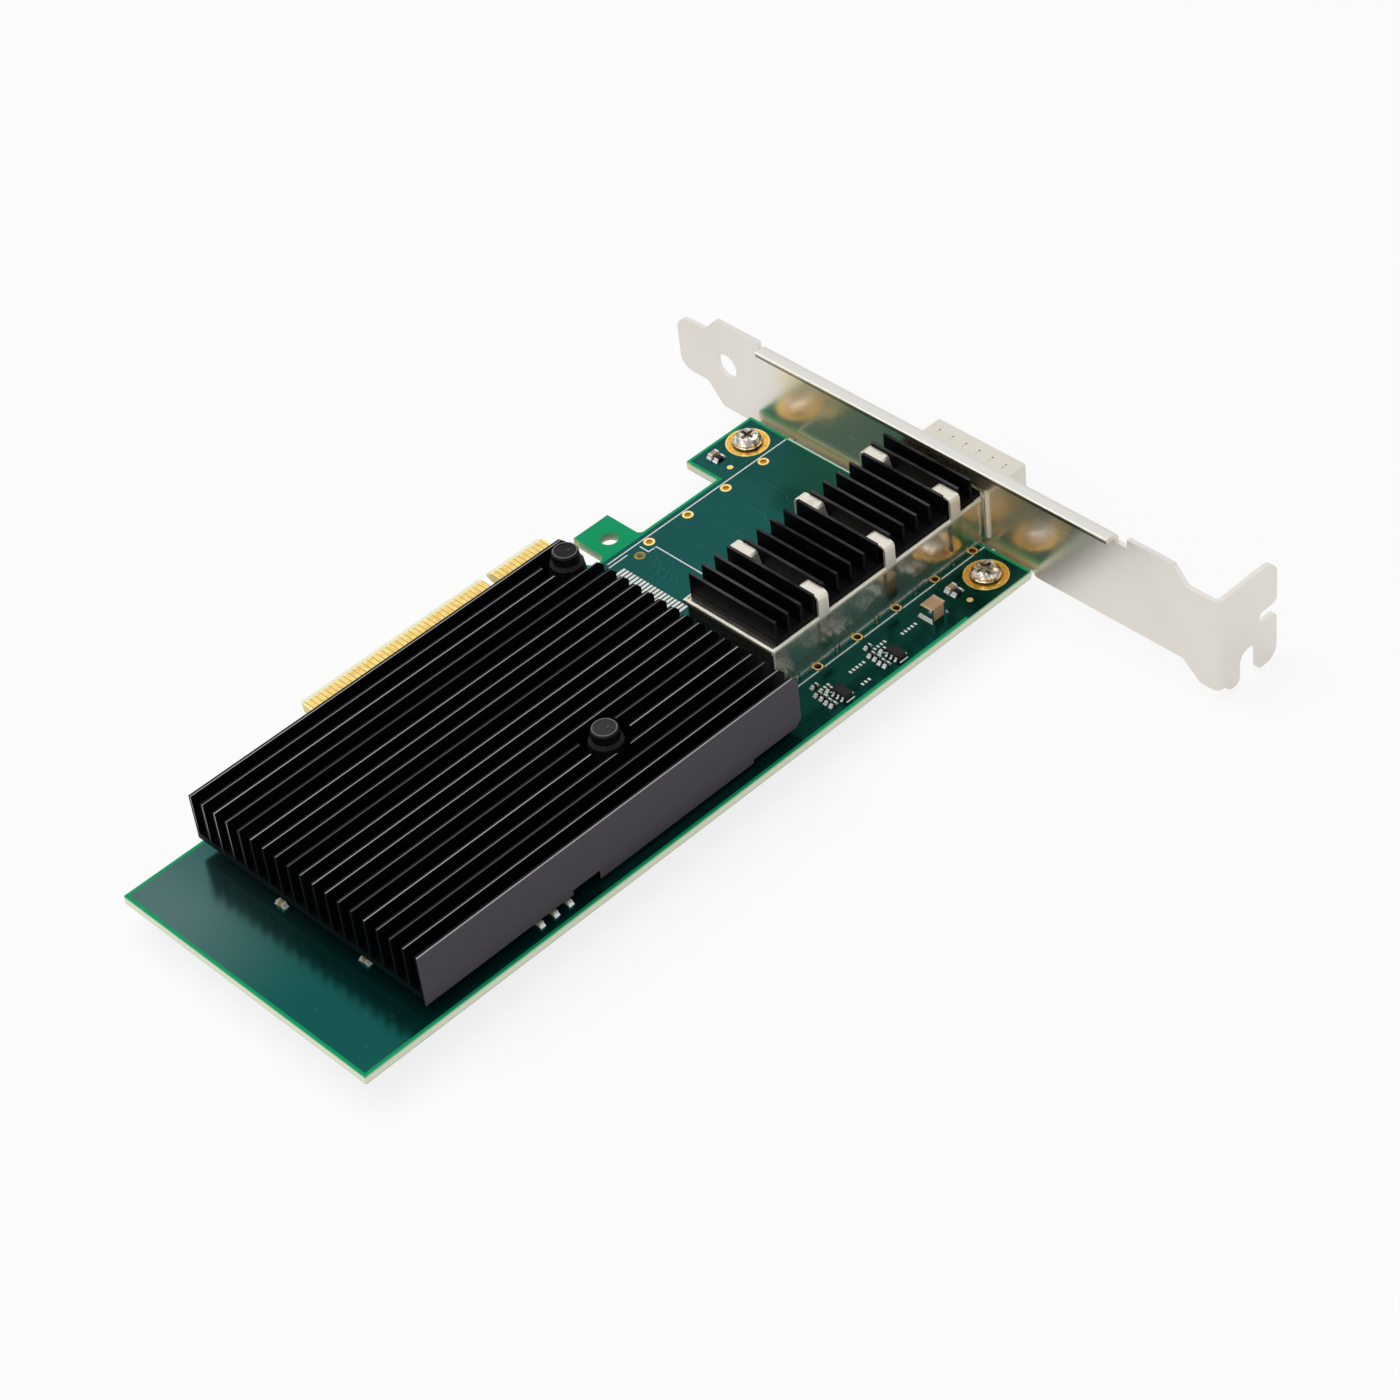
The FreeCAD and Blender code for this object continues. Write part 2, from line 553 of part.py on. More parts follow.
def connector_contacts():
    """Two rows of spring contacts, from the mouth to the solder feet behind the housing."""
    x0 = CAGE_X[0] + 2.2
    contacts = []
    for i in range(19):
        y = CAGE_MIDDLE + (i - 9) * 0.8
        upper = box((x0 + 0.2, x0 + 0.45), (y - 0.15, y + 0.15), (0.0, 4.1))
        foot = box((x0 + 0.2, x0 + 1.5), (y - 0.15, y + 0.15), (0.0, 0.2))
        contacts.append(fused([upper, foot]))
    return contacts


def cage_heatsink():
    """Finned block on the cage, its pedestal reaching through the cage's window."""
    front = INNER - CAGE_SINK_FRONT
    rear = CAGE_X[0] + 0.8
    foot = CAGE_TOP + SEAT_GAP
    base_top = foot + CAGE_BASE
    wide, narrow = CAGE_SINK_WIDTH, CAGE_SINK_NARROW
    spans = [(STRAPS[0], front, wide)]
    spans += [(STRAPS[i + 1], STRAPS[i], narrow) for i in range(STRAP_COUNT - 1)]
    spans.append((rear, STRAPS[-1], wide))
    base = block(((front + rear) / 2, CAGE_MIDDLE), (front - rear, wide), (foot, base_top))
    pieces = [base]
    inset = STRAP_WIDTH / 2 + CAGE_FIN_TO_STRAP
    for index, (low, high, width) in enumerate(spans):
        start = low + (inset if index < STRAP_COUNT else 0) + CAGE_FIN / 2
        stop = high - (inset if index > 0 else 0) - CAGE_FIN / 2
        count = int((stop - start) / CAGE_FIN_PITCH + 0.35) + 1
        pitch = (stop - start) / (count - 1) if 0 < index < STRAP_COUNT else CAGE_FIN_PITCH
        anchor = stop if index == STRAP_COUNT else start
        direction = -1 if index == STRAP_COUNT else 1
        for i in range(count):
            x = anchor + direction * i * pitch
            if rear < x - CAGE_FIN / 2 + 1e-6 and x + CAGE_FIN / 2 < front + 1e-6:
                pieces.append(block((x, CAGE_MIDDLE), (CAGE_FIN, width), (base_top - 0.1, CAGE_FIN_TOP)))
    x, y = pedestal_span()
    pieces.append(box(x, y, (CAGE_TOP - PEDESTAL_DROP, foot + 0.1)))
    return fused(pieces)


def heatsink_clip():
    """One folded sheet: a band round the cage's rear and sides, and straps over the heat sink."""
    t = STRAP_SHEET
    near, far = CAGE_Y[0] - SEAT_GAP - t, CAGE_Y[1] + SEAT_GAP + t
    floor = CAGE_TOP + SEAT_GAP + CAGE_BASE + SEAT_GAP + t
    inner = near + STRAP_SHOULDER
    slope = 1.0
    path = [(near, STRAP_FOOT), (near, STRAP_TOP), (inner, STRAP_TOP), (inner + slope, floor)]
    path += [(2 * CAGE_MIDDLE - y, z) for y, z in path[::-1]]
    face = rounded(strip(path, t, 0.35), end_on)
    straps = []
    for x in STRAPS:
        strap = face.extrude(V(STRAP_WIDTH, 0, 0))
        strap.translate(V(x - STRAP_WIDTH / 2, 0, 0))
        straps.append(strap)
    band_z = (CAGE_TOP - 0.7, CAGE_TOP - 0.05)
    rear = CAGE_X[0] - SEAT_GAP - t
    front = INNER - 1.0
    rails = [box((rear, front), (near, near + t), band_z), box((rear, front), (far - t, far), band_z)]
    bar = box((rear, rear + t), (near, far), band_z)
    return fused(straps + rails + [bar])


# Main heat sink --------------------------------------------------------------------------------

def main_heatsink():
    x0, x1 = SINK_X
    base_top = SINK_FLOOR + SINK_BASE
    pieces = [box(SINK_X, (SINK_NEAR, SINK_FAR), (SINK_FLOOR, base_top))]
    for i in range(SINK_FINS):
        y = SINK_NEAR + i * SINK_PITCH
        pieces.append(box(SINK_X, (y, y + SINK_FIN), (SINK_FLOOR, SINK_TOP)))
    breaks = [x0] + [x0 + reach for reach in APRON_BREAKS] + [x1 - APRON_END, x1]
    for low, a, b in zip(APRON, breaks, breaks[1:]):
        pieces.append(box((a, b), (SINK_NEAR, SINK_NEAR + SINK_FIN), (low, SINK_FLOOR + 0.1)))
    sink = fused(pieces)
    cuts = [rod(place, PIN_POCKET, (base_top, SINK_TOP + 1)) for place in PINS]
    cuts += [rod(place, PIN_SHAFT + PIN_CLEARANCE, (0, SINK_TOP)) for place in PINS]
    pocket_y = (PIN_FAR[1] - PIN_POCKET, PIN_FAR[1] + PIN_POCKET - SINK_FIN)
    cuts.append(box((PIN_FAR[0], x1 + 1), pocket_y, (base_top, SINK_TOP + 1)))
    nick = 1.2
    for z, up in ((SINK_TOP, -1), (APRON[-1], 1)):
        corner = [V(x1 - nick, 0, z), V(x1, 0, z + up * nick), V(x1, 0, z)]
        wedge = Part.Face(Part.makePolygon(corner + corner[:1])).extrude(V(0, SINK_FAR - SINK_NEAR, 0))
        wedge.translate(V(0, SINK_NEAR, 0))
        cuts.append(wedge)
    return sink.cut(cuts)


def push_pins():
    """Sprung plastic rivets: cap, tapered skirt, shaft and split barb below the board."""
    pins = []
    barb = BOARD_BOTTOM - 0.1
    foot = PIN_TOP - PIN_SKIRT[1]
    for place in PINS:
        profile = [(0.6, PIN_TIP), (PIN_SHAFT + 0.35, barb - 0.2), (PIN_SHAFT + 0.35, barb), (PIN_SHAFT, barb),
                   (PIN_SHAFT, foot), (PIN_SKIRT[0], foot), (PIN_CAP + 0.55, PIN_TOP - 2.3),
                   (PIN_CAP, PIN_TOP - 1.8), (PIN_CAP - 0.05, PIN_TOP - 0.25), (PIN_CAP - 0.3, PIN_TOP)]
        slot = block(place, (0.4, 4), (PIN_TIP - 1, SINK_FLOOR))
        pins.append(turned(place, profile).cut(slot))
    return pins


def push_pin_springs():
    base = SINK_FLOOR + SINK_BASE + SPRING_WIRE + SEAT_GAP
    top = PIN_TOP - PIN_SKIRT[1] - SPRING_WIRE - SEAT_GAP
    radius = PIN_SHAFT + SPRING_WIRE + 0.35
    springs = []
    for place in PINS:
        steps = SPRING_TURNS * 12
        turns = [2 * pi * SPRING_TURNS * i / steps for i in range(steps + 1)]
        rise = (top - base) / steps
        path = Part.makePolygon([V(radius * cos(a), radius * sin(a), i * rise) for i, a in enumerate(turns)])
        corners = [2 * pi * i / 4 for i in range(5)]
        section = Part.makePolygon([V(radius + SPRING_WIRE * cos(a), 0, SPRING_WIRE * sin(a)) for a in corners])
        coil = path.makePipeShell([section], True, True, 1)
        coil.translate(V(place[0], place[1], base))
        springs.append(coil)
    return springs


# Controller and small parts --------------------------------------------------------------------

def controller_substrate():
    return block(CONTROLLER, (SUBSTRATE, SUBSTRATE), (0, SUBSTRATE_HEIGHT))


def controller_lid():
    return block(CONTROLLER, (LID, LID), (SUBSTRATE_HEIGHT, SINK_FLOOR - PAD_THICKNESS))


def thermal_pad():
    return block(CONTROLLER, (LID - 1, LID - 1), (SINK_FLOOR - PAD_THICKNESS, SINK_FLOOR))


def chip(centre, size, height, end, along_x=True):
    """Chip part as (body, two metal ends); a negative height hangs it under the board."""
    length, width = size
    z = (0, height) if height > 0 else (height, BOARD_BOTTOM)
    middle = length - 2 * end
    x, y = centre
    ends = []
    if along_x:
        body = block(centre, (middle, width), z)
        ends = [block((x + s * (length - end) / 2, y), (end, width), z) for s in (-1, 1)]
    else:
        body = block(centre, (width, middle), z)
        ends = [block((x, y + s * (length - end) / 2), (width, end), z) for s in (-1, 1)]
    return body, ends


def save_chips(name, places, size, height, end, along_x=True):
    bodies, ends = [], []
    for place in places:
        body, pair = chip(place, size, height, end, along_x)
        bodies.append(body)
        ends += pair
    save(name, *bodies)
    save(name + "_ends", *ends)


def gull_lead(centre, side, y, half_body, span, thickness=0.15, rise=0.55, width=0.35):
    """Gull-wing lead on one long side of a small package."""
    path = [(half_body, rise), (half_body + 0.2, rise), (half_body + 0.3, thickness), (span / 2, thickness)]
    face = rounded(strip(path, thickness), lambda a: V(centre[0] + side * a.x, y - width / 2, a.y))
    return face.extrude(V(0, width, 0))


def voltage_regulators():
    return [block(place, (1.6, 2.9), (0.1, 1.1)) for place in REGULATORS]


def regulator_leads():
    leads = []
    for x, y in REGULATORS:
        rows = ((-1, (-0.95, 0, 0.95)), (1, (-0.95, 0.95)))
        leads += [gull_lead((x, y), side, y + shift, 0.8, 2.8) for side, shifts in rows for shift in shifts]
    return leads


def flash_memory():
    return block(FLASH, (3.9, 4.9), (0.12, 1.6))


def flash_leads():
    shifts = [(i - 1.5) * 1.27 for i in range(4)]
    return [gull_lead(FLASH, side, FLASH[1] + shift, 1.95, 6.0, 0.2, 0.8, 0.42) for side in (-1, 1) for shift in shifts]


def oscillator():
    """Crystal oscillator in a lidded can."""
    base = block(OSCILLATOR, (5.0, 3.2), (0, 0.9))
    lid = block(OSCILLATOR, (4.5, 2.7), (0.9, 1.2))
    return base.fuse(lid)


def power_inductors():
    return [block(place, (5.2, 5.0), (0, 2.0)) for place in INDUCTORS]


def spare_port_pads():
    """Tinned pads of the second connector position, which is not fitted."""
    x = CAGE_X[0] + 4.55
    pitch = 0.8
    middle = SHOULDER - 11.75
    return [block((x, middle + (i - 9) * pitch), (2.7, 0.5), (0, PLATING)) for i in range(19)]


def build():
    save("circuit_board", circuit_board())
    save("edge_contacts", *edge_contacts())
    save("ground_rings", *ground_rings())
    save("fiducials", *fiducials())
    save("screw_pads", *screw_pads())
    save("bracket", bracket())
    save("bracket_screws", *bracket_screws())
    save("cage_shell", cage_shell())
    save("cage_floor", cage_floor())
    save("port_gasket", port_gasket())
    save("connector_housing", connector_housing())
    save("connector_contacts", *connector_contacts())
    save("cage_heatsink", cage_heatsink())
    save("heatsink_clip", heatsink_clip())
    save("main_heatsink", main_heatsink())
    save("push_pins", *push_pins())
    save("push_pin_springs", *push_pin_springs())
    save("controller_substrate", controller_substrate())
    save("controller_lid", controller_lid())
    save("thermal_pad", thermal_pad())
    save("spare_port_pads", *spare_port_pads())
    save("voltage_regulators", *voltage_regulators())
    save("regulator_leads", *regulator_leads())
    save("flash_memory", flash_memory())
    save("flash_leads", *flash_leads())
    save("oscillator", oscillator())
    save("power_inductors", *power_inductors())
    save_chips("bulk_capacitor", [(BOARD_RIGHT - 17.7, 4.9)], (3.2, 2.5), 2.5, 0.45)
    save_chips("ground_capacitors", [(x - 6.2, y + 1.9) for x, y in SCREWS], (1.8, 0.9), 0.8, 0.35)
    save_chips("ground_resistors", [(x - 6.2, y + 0.55) for x, y in SCREWS], (1.8, 0.85), 0.5, 0.35)
    beside = ((-2.5, 2.9), (-2.5, 1.7), (-2.7, 0.5), (-2.7, -0.6), (-0.6, 2.2), (-1.5, 4.6))
    save_chips("filter_capacitors", [(x + a, y + b) for x, y in REGULATORS for a, b in beside],
               (1.1, 0.55), 0.5, 0.3)
    near_row = [(SINK_X[0] + 22.7 + i * 2.9, SINK_NEAR + 0.7) for i in range(3)]
    left_end = [(SINK_X[0] + x, y) for x, y in ((0.3, 35.8), (0.9, 17.1), (2.2, 7.4))]
    save_chips("edge_capacitors", near_row + left_end, (1.6, 0.85), 0.8, 0.35, along_x=False)
    under = [(CONTROLLER[0] + (i - 1.5) * 3.2, CONTROLLER[1] + (j - 1) * 4.0) for i in range(4) for j in range(3)]
    save_chips("solder_side_capacitors", under, (1.1, 0.55), BOARD_BOTTOM - 0.5, 0.3)


os.makedirs("parts", exist_ok=True)
build()
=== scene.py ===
"""Looks for a network interface card: finishes, printed lines, traces, solder, threads and a studio.

Everything is in metres in the card's own frame. X runs along the card towards the bracket,
Y out of the edge connector and Z away from the component face, which is at 0.
"""
from math import cos, pi, radians, sin

import bmesh
import bpy
from mathutils import Matrix, Vector


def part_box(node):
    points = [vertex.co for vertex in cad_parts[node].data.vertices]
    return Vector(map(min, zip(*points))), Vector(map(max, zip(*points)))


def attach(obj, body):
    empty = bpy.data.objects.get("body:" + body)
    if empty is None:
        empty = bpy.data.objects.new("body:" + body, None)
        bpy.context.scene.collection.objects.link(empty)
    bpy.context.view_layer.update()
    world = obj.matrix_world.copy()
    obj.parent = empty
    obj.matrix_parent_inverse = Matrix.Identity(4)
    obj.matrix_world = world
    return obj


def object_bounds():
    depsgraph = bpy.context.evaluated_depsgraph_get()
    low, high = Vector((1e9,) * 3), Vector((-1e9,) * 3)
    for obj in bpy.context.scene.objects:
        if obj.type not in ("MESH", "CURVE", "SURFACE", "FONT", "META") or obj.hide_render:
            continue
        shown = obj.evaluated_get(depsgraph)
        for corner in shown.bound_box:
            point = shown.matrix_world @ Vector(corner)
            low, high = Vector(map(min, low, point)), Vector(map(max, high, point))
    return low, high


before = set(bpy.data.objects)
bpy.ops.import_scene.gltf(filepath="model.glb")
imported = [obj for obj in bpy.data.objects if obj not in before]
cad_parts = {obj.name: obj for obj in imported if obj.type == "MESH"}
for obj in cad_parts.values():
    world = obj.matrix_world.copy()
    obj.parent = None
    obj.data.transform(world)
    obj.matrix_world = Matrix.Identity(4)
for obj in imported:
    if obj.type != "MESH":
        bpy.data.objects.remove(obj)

bl_info = {
    "name": "Network interface card",
    "version": (1, 0, 0),
    "blender": (4, 5, 0),
    "location": "View3D > Sidebar > Card",
    "description": "Finishes the card's frame and adds its printed, plated, soldered and threaded detail",
    "category": "Object",
}

MM = 0.001
FULL_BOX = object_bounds()
BOARD_LOW, BOARD_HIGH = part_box("circuit_board")
CAGE_LOW, CAGE_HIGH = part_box("cage_shell")
IN_BOARD = -0.5 * MM        # a height between the board's two faces
FACE_ORDER = Vector((1.0, 3.7, 11.3))  # faces are put in order this way, so each run gives the same mesh

# Places in the card's frame, in mm.
SHOULDER = -12.9            # the board's edge beside the edge connector
FOOT = (41.8, -5.4)         # the screw foot's near side and its edge
HOOK = (15.9, 23.65, -5.1)  # the retention hook's two sides and its edge
TONGUES = ((-39.6, -0.95), (0.95, 12.6))
MASK_END = -6.75            # where the solder mask stops on the tongues
BEVEL = -1.3                # where the tongues' bevel starts
CONTACT_PITCH = 1.0
BRACKET_INNER = 58.19       # the bracket's inner face
STRAP_BEND = (8.6, 9.8)     # heights between which the clip's straps turn down the cage
NEAR_PIN, FAR_PIN = -35, -15
FIN_SHARE = 2.875 / 52.25   # pitch of the fins, as a share of the heat sink's width

# Places on the board: mm along the card, then mm from its free edge.
NEAR_STRIP = 8.0            # width of the strip between the free edge and the port, painted darker as shade
FLANGE = (-17.1, 59.5)      # ends of the bracket's folded flange, from the free edge
PRINTED_LINES = (
    ((14.8, 54.5), (56.6, 54.5)),                              # along the far row of rings
    ((14.4, 53.7), (18.6, 53.7)),                              # beside the test point
    ((21.4, 53.7), (21.4, 51.6), (23.1, 51.5), (23.1, 31.0)),  # from the rings to the cage
    ((13.0, 9.75), (56.9, 9.75)),                              # along the near row of rings
    ((56.9, 30.4), (56.9, 54.4)),                              # beside the bracket
)
REGULATORS = ((16.65, 3.05), (28.65, 2.95))
FIRST_LEGS = ((15.0, 4.9), (27.0, 4.8))  # printed dots beside the regulators
# Rows of empty pads: the place of the first, and how many.
EMPTY_PADS = ((21.2, 5.7, 5), (33.0, 5.6, 5), (20.4, 2.3, 3), (15.4, 6.4, 3), (27.6, 6.5, 4))
TEST_POINT = (19.8, 52.0)


def at(x, y):
    """Point on the component face from mm along the card and from its free edge, in metres."""
    return Vector((x * MM, BOARD_LOW.y + y * MM, 0))


# Shader arithmetic ---------------------------------------------------------------------------

class Value:
    """A shader socket that takes part in Python arithmetic."""

    def __init__(self, nodes, socket):
        self.nodes = nodes
        self.socket = socket

    def __add__(self, other):
        return self.nodes.math("ADD", self, other)

    def __sub__(self, other):
        return self.nodes.math("SUBTRACT", self, other)

    def __rsub__(self, other):
        return self.nodes.math("SUBTRACT", other, self)

    def __mul__(self, other):
        return self.nodes.math("MULTIPLY", self, other)

    def __rmul__(self, other):
        return self.nodes.math("MULTIPLY", other, self)

    def __truediv__(self, other):
        return self.nodes.math("DIVIDE", self, other)

    def __abs__(self):
        return self.nodes.math("ABSOLUTE", self)

    __radd__ = __add__


class Nodes:
    """A node tree whose sockets take part in Python arithmetic."""

    def __init__(self, tree):
        self.tree = tree

    def node(self, kind, settings=None, sockets=None, output=0):
        """Any node: its settings first, then the values or links of its sockets."""
        made = self.tree.nodes.new(kind)
        for name, setting in (settings or {}).items():
            setattr(made, name, setting)
        for name, value in (sockets or {}).items():
            if isinstance(value, Value):
                self.tree.links.new(value.socket, made.inputs[name])
            else:
                made.inputs[name].default_value = value
        return Value(self, made.outputs[output])

    def math(self, operation, *values):
        return self.node("ShaderNodeMath", {"operation": operation}, dict(enumerate(values)))

    def fold(self, operation, values):
        """One value from several, two at a time."""
        result = values[0]
        for value in values[1:]:
            result = self.math(operation, result, value)
        return result

    def least(self, *values):
        return self.fold("MINIMUM", values)

    def most(self, *values):
        return self.fold("MAXIMUM", values)

    def rays(self):
        """Whether a ray comes from the camera, from gloss or through glass."""
        outputs = self.node("ShaderNodeLightPath").socket.node.outputs
        kinds = ("Is Camera Ray", "Is Glossy Ray", "Is Transmission Ray")
        return [Value(self, outputs[kind]) for kind in kinds]


class Finish(Nodes):
    """One procedural material, with its places in mm ready to use."""

    def __init__(self, name, specular=0.5, **constants):
        self.material = bpy.data.materials.new(name)
        self.material.use_nodes = True
        super().__init__(self.material.node_tree)
        self.tree.nodes.clear()
        self.shader = self.tree.nodes.new("ShaderNodeBsdfPrincipled")
        self.output = self.tree.nodes.new("ShaderNodeOutputMaterial")
        self.tree.links.new(self.shader.outputs[0], self.output.inputs[0])
        self.shader.inputs["Specular IOR Level"].default_value = specular
        for socket, constant in constants.items():
            self.shader.inputs[socket.title()].default_value = constant
        place = self.node("ShaderNodeTexCoord", output="Object")
        self.place = self.node("ShaderNodeVectorMath", {"operation": "MULTIPLY"},
                               {0: place, 1: (1 / MM,) * 3})
        self.x, self.y, self.z = self.split(self.place)
        self.across, _, self.facing = self.split(self.node("ShaderNodeTexCoord", output="Normal"))

    def split(self, vector):
        """The three parts of a vector."""
        parts = self.node("ShaderNodeSeparateXYZ", sockets={0: vector})
        return [Value(self, parts.socket.node.outputs[i]) for i in range(3)]

    def rise(self, value, low, high):
        """Smooth step from 0 at low to 1 at high, or the other way when high is the lower."""
        ends = {"From Min": min(low, high), "From Max": max(low, high),
                "To Min": 0.0 if low < high else 1.0, "To Max": 1.0 if low < high else 0.0}
        return self.node("ShaderNodeMapRange", {"interpolation_type": "SMOOTHSTEP"}, {"Value": value, **ends})

    def within(self, value, low, high, soft):
        """1 between two places, with soft edges."""
        return self.rise(value, low - soft, low + soft) * self.rise(value, high + soft, high - soft)

    def distance(self, across, along):
        """Distance from a centre, from its two parts."""
        return self.math("SQRT", across * across + along * along)

    def stretch(self, x, y, z):
        """Places stretched by a factor each way, in mm."""
        return self.node("ShaderNodeVectorMath", {"operation": "MULTIPLY"}, {0: self.place, 1: (x, y, z)})

    def noise(self, scale, detail=2.0, roughness=0.5, place=None):
        """Cloudy value about 0.5; scale is in features a mm."""
        return self.node("ShaderNodeTexNoise", sockets={"Vector": place or self.place, "Scale": scale,
                                                        "Detail": detail, "Roughness": roughness})

    def cells(self, scale, randomness=1.0):
        """Distance, in cells, to the nearest scattered point."""
        return self.node("ShaderNodeTexVoronoi", {"feature": "F1"},
                         {"Vector": self.place, "Scale": scale, "Randomness": randomness}, "Distance")

    def repeat(self, value, pitch):
        """Place within a pattern that repeats at a pitch."""
        return self.math("FRACT", value / pitch) * pitch

    def mix(self, factor, first, second):
        """Colour between two colours."""
        return self.node("ShaderNodeMix", {"data_type": "RGBA"},
                         {0: factor, 6: self.opaque(first), 7: self.opaque(second)}, 2)

    @staticmethod
    def opaque(colour):
        return colour if isinstance(colour, Value) else (*tuple(colour)[:3], 1.0)

    def set(self, socket, value):
        """Links one of the shader's sockets."""
        self.tree.links.new(value.socket, self.shader.inputs[socket])

    def relief(self, height, depth, strength):
        """Bump from a height of 0 to 1; depth is in mm."""
        self.set("Normal", self.node("ShaderNodeBump", sockets={"Height": height, "Distance": depth * MM,
                                                                "Strength": strength}))


# Finishes -------------------------------------------------------------------------------------

def board_finish(colours):
    """Solder mask over copper on the faces, bare laminate on the cut edges and the tongues.

    Copper under the mask makes it a coloured half mirror; without copper it is a brighter green.
    """
    f = Finish("solder_mask_and_laminate", specular=0.06)
    x, y, z = f.x, f.y, f.z
    face = f.rise(abs(f.facing), 0.35, 0.6)
    left, right = BOARD_LOW.x / MM, BOARD_HIGH.x / MM
    near = BOARD_LOW.y / MM

    # How far a place lies inside each part of the outline, in mm.
    body = f.least(x - left, right - x, y - near, SHOULDER - y)
    foot = f.least(x - FOOT[0], right - x, FOOT[1] - y)
    hook = f.least(x - HOOK[0], HOOK[1] - x, HOOK[2] - y, y - SHOULDER)
    tongues = [f.least(x - low, high - x, y - near) for low, high in TONGUES]
    copper = f.rise(f.most(body, foot, *tongues), 0.45, 0.62)
    on_tongue = f.rise(hook, 0.05, -0.05) * f.rise(foot, 0.05, -0.05)

    # The mask: painted sheen at its far left, painted shade in the strip beside the port, with small vias
    # under it.
    cloud = f.noise(0.06, 3.0)
    fine = f.noise(2.6, 3.0, 0.6)
    weave = (f.math("SINE", x * 14.0) * f.math("SINE", y * 14.0)) * 0.5 + 0.5
    deep = f.mix(cloud, colours.mask, colours.mask_deep)
    deep = f.mix(fine * 0.2, deep, colours.mask_pale)
    # Painted sheen: a paler, greyer patch on the upward faces at the far left end.
    sheen_patch = (f.rise(x, left + 26, left) * f.rise(y, near + 18, near + 50) * (0.35 + cloud * 0.4)
             * f.rise(f.facing, 0, 0.5))
    deep = f.mix(sheen_patch, deep, colours.mask_painted_sheen)
    # Painted shade over the strip beside the port.
    strip = f.rise(y, near + NEAR_STRIP + 2.5, near + NEAR_STRIP) * f.rise(x, -8, 6) * (0.5 + cloud * 0.4)
    deep = f.mix(strip, deep, colours.mask_painted_shade)
    groups = f.rise(f.noise(0.11, 1.0), 0.5, 0.58)
    vias = f.within(f.cells(0.62, 0.85), 0.09, 0.16, 0.02) * groups
    deep = f.mix(vias * 0.4, deep, colours.mask_pale)
    thin = f.mix(weave * 0.05 + cloud * 0.1, colours.mask_thin, colours.mask_pale)
    masked = f.mix(copper, thin, deep)

    # The tongues: gilt laminate, dark between the contacts and pale at the bevel.
    bare = f.rise(y, MASK_END - 0.05, MASK_END + 0.05) * on_tongue
    contact = min(place.x for place in centres("edge_contacts")) / MM
    between = f.within(f.repeat(x - contact, CONTACT_PITCH), 0.42, 0.58, 0.05)
    gap = between * f.rise(y, MASK_END + 0.3, MASK_END + 0.5)
    tip = f.rise(y, BEVEL + 0.25, BEVEL + 0.45)
    gilt = bare * (1 - gap) * (1 - tip) * (1 - f.rise(hook, -0.2, 0.0))
    tongue = f.mix(gap * (0.75 + fine * 0.25), colours.bevel, colours.tongue)
    tongue = f.mix(tip, tongue, f.mix(fine * 0.5, colours.laminate, colours.bevel))

    # The cut edges: layers of glass, green at the top, dark at the bottom and gilt on the tongues.
    layers = f.math("SINE", z * 21.0 + f.noise(1.2, 2.0) * 1.6) * 0.5 + 0.5
    glass = f.noise(1.0, 3.0, 0.6, f.stretch(2.4, 2.4, 9.0))
    cut = f.mix(layers * 0.3 + glass * 0.25, colours.laminate, colours.laminate_shade)
    green = f.most(f.rise(z, -0.5, -0.12) * 0.75, f.rise(hook, -0.3, 0.1) * f.rise(z, -1.5, -0.6) * 0.7)
    cut = f.mix(green, cut, colours.mask_thin)
    cut = f.mix(f.rise(z, -1.4, -1.52) * 0.8, cut, colours.laminate_dark)
    cut = f.mix(f.rise(y, MASK_END, MASK_END + 0.6) * on_tongue * 0.8, cut, colours.bevel)

    f.set("Base Color", f.mix(face, cut, f.mix(bare, masked, tongue)))
    f.set("Metallic", (copper * (1 - bare) * 0.86 + gilt * 0.8) * face)
    f.set("Roughness", f.noise(0.35, 2.0) * 0.06 + 0.14 + (1 - face) * 0.4 + bare * face * 0.2)
    f.relief((fine * 0.12 + vias * 0.5 + weave * 0.08) * face + glass * (1 - face), 0.02, 0.6)
    return f.material


def gold_finish(colours, name, roughness, tint=None):
    """Plated gold, satin, with faint stains and probe scratches."""
    f = Finish(name, metallic=1.0)
    stain = f.noise(0.8, 3.0)
    scratch = f.noise(1.0, 3.0, 0.6, f.stretch(6.0, 0.7, 6.0))
    stained = f.rise(stain, 0.35, 0.75) * 0.5 + scratch * 0.15
    f.set("Base Color", f.mix(stained, tint or colours.gold, colours.gold_deep))
    f.set("Roughness", scratch * 0.16 + roughness)
    f.relief(scratch * 0.6 + stain * 0.4, 0.006, 0.6)
    return f.material


def ring_finish(colours):
    """Gold rings about the plated holes; beside the port they are thin, with mask inside."""
    f = Finish("gold_rings", metallic=1.0)
    rings = centres("ground_rings")
    row = sorted((place / MM for place in rings if place.y < CAGE_HIGH.y), key=lambda place: place.x)
    pitch = row[1].x - row[0].x
    away_x = f.repeat(f.x - (row[0].x - pitch / 2), pitch) - pitch / 2
    radius = f.distance(away_x, f.y - row[0].y)
    thin = f.rise(radius, 0.76, 0.82) * f.rise(f.y, row[0].y + 2, row[0].y + 1)
    stain = f.noise(0.8, 3.0)
    colour = f.mix(f.rise(stain, 0.35, 0.75) * 0.5, colours.gold_pale, colours.gold)
    f.set("Base Color", f.mix(thin, colour, colours.mask_deep))
    f.set("Roughness", stain * 0.15 + 0.2)
    f.set("Metallic", 1 - thin * 0.3)
    f.relief(stain, 0.006, 0.6)
    return f.material


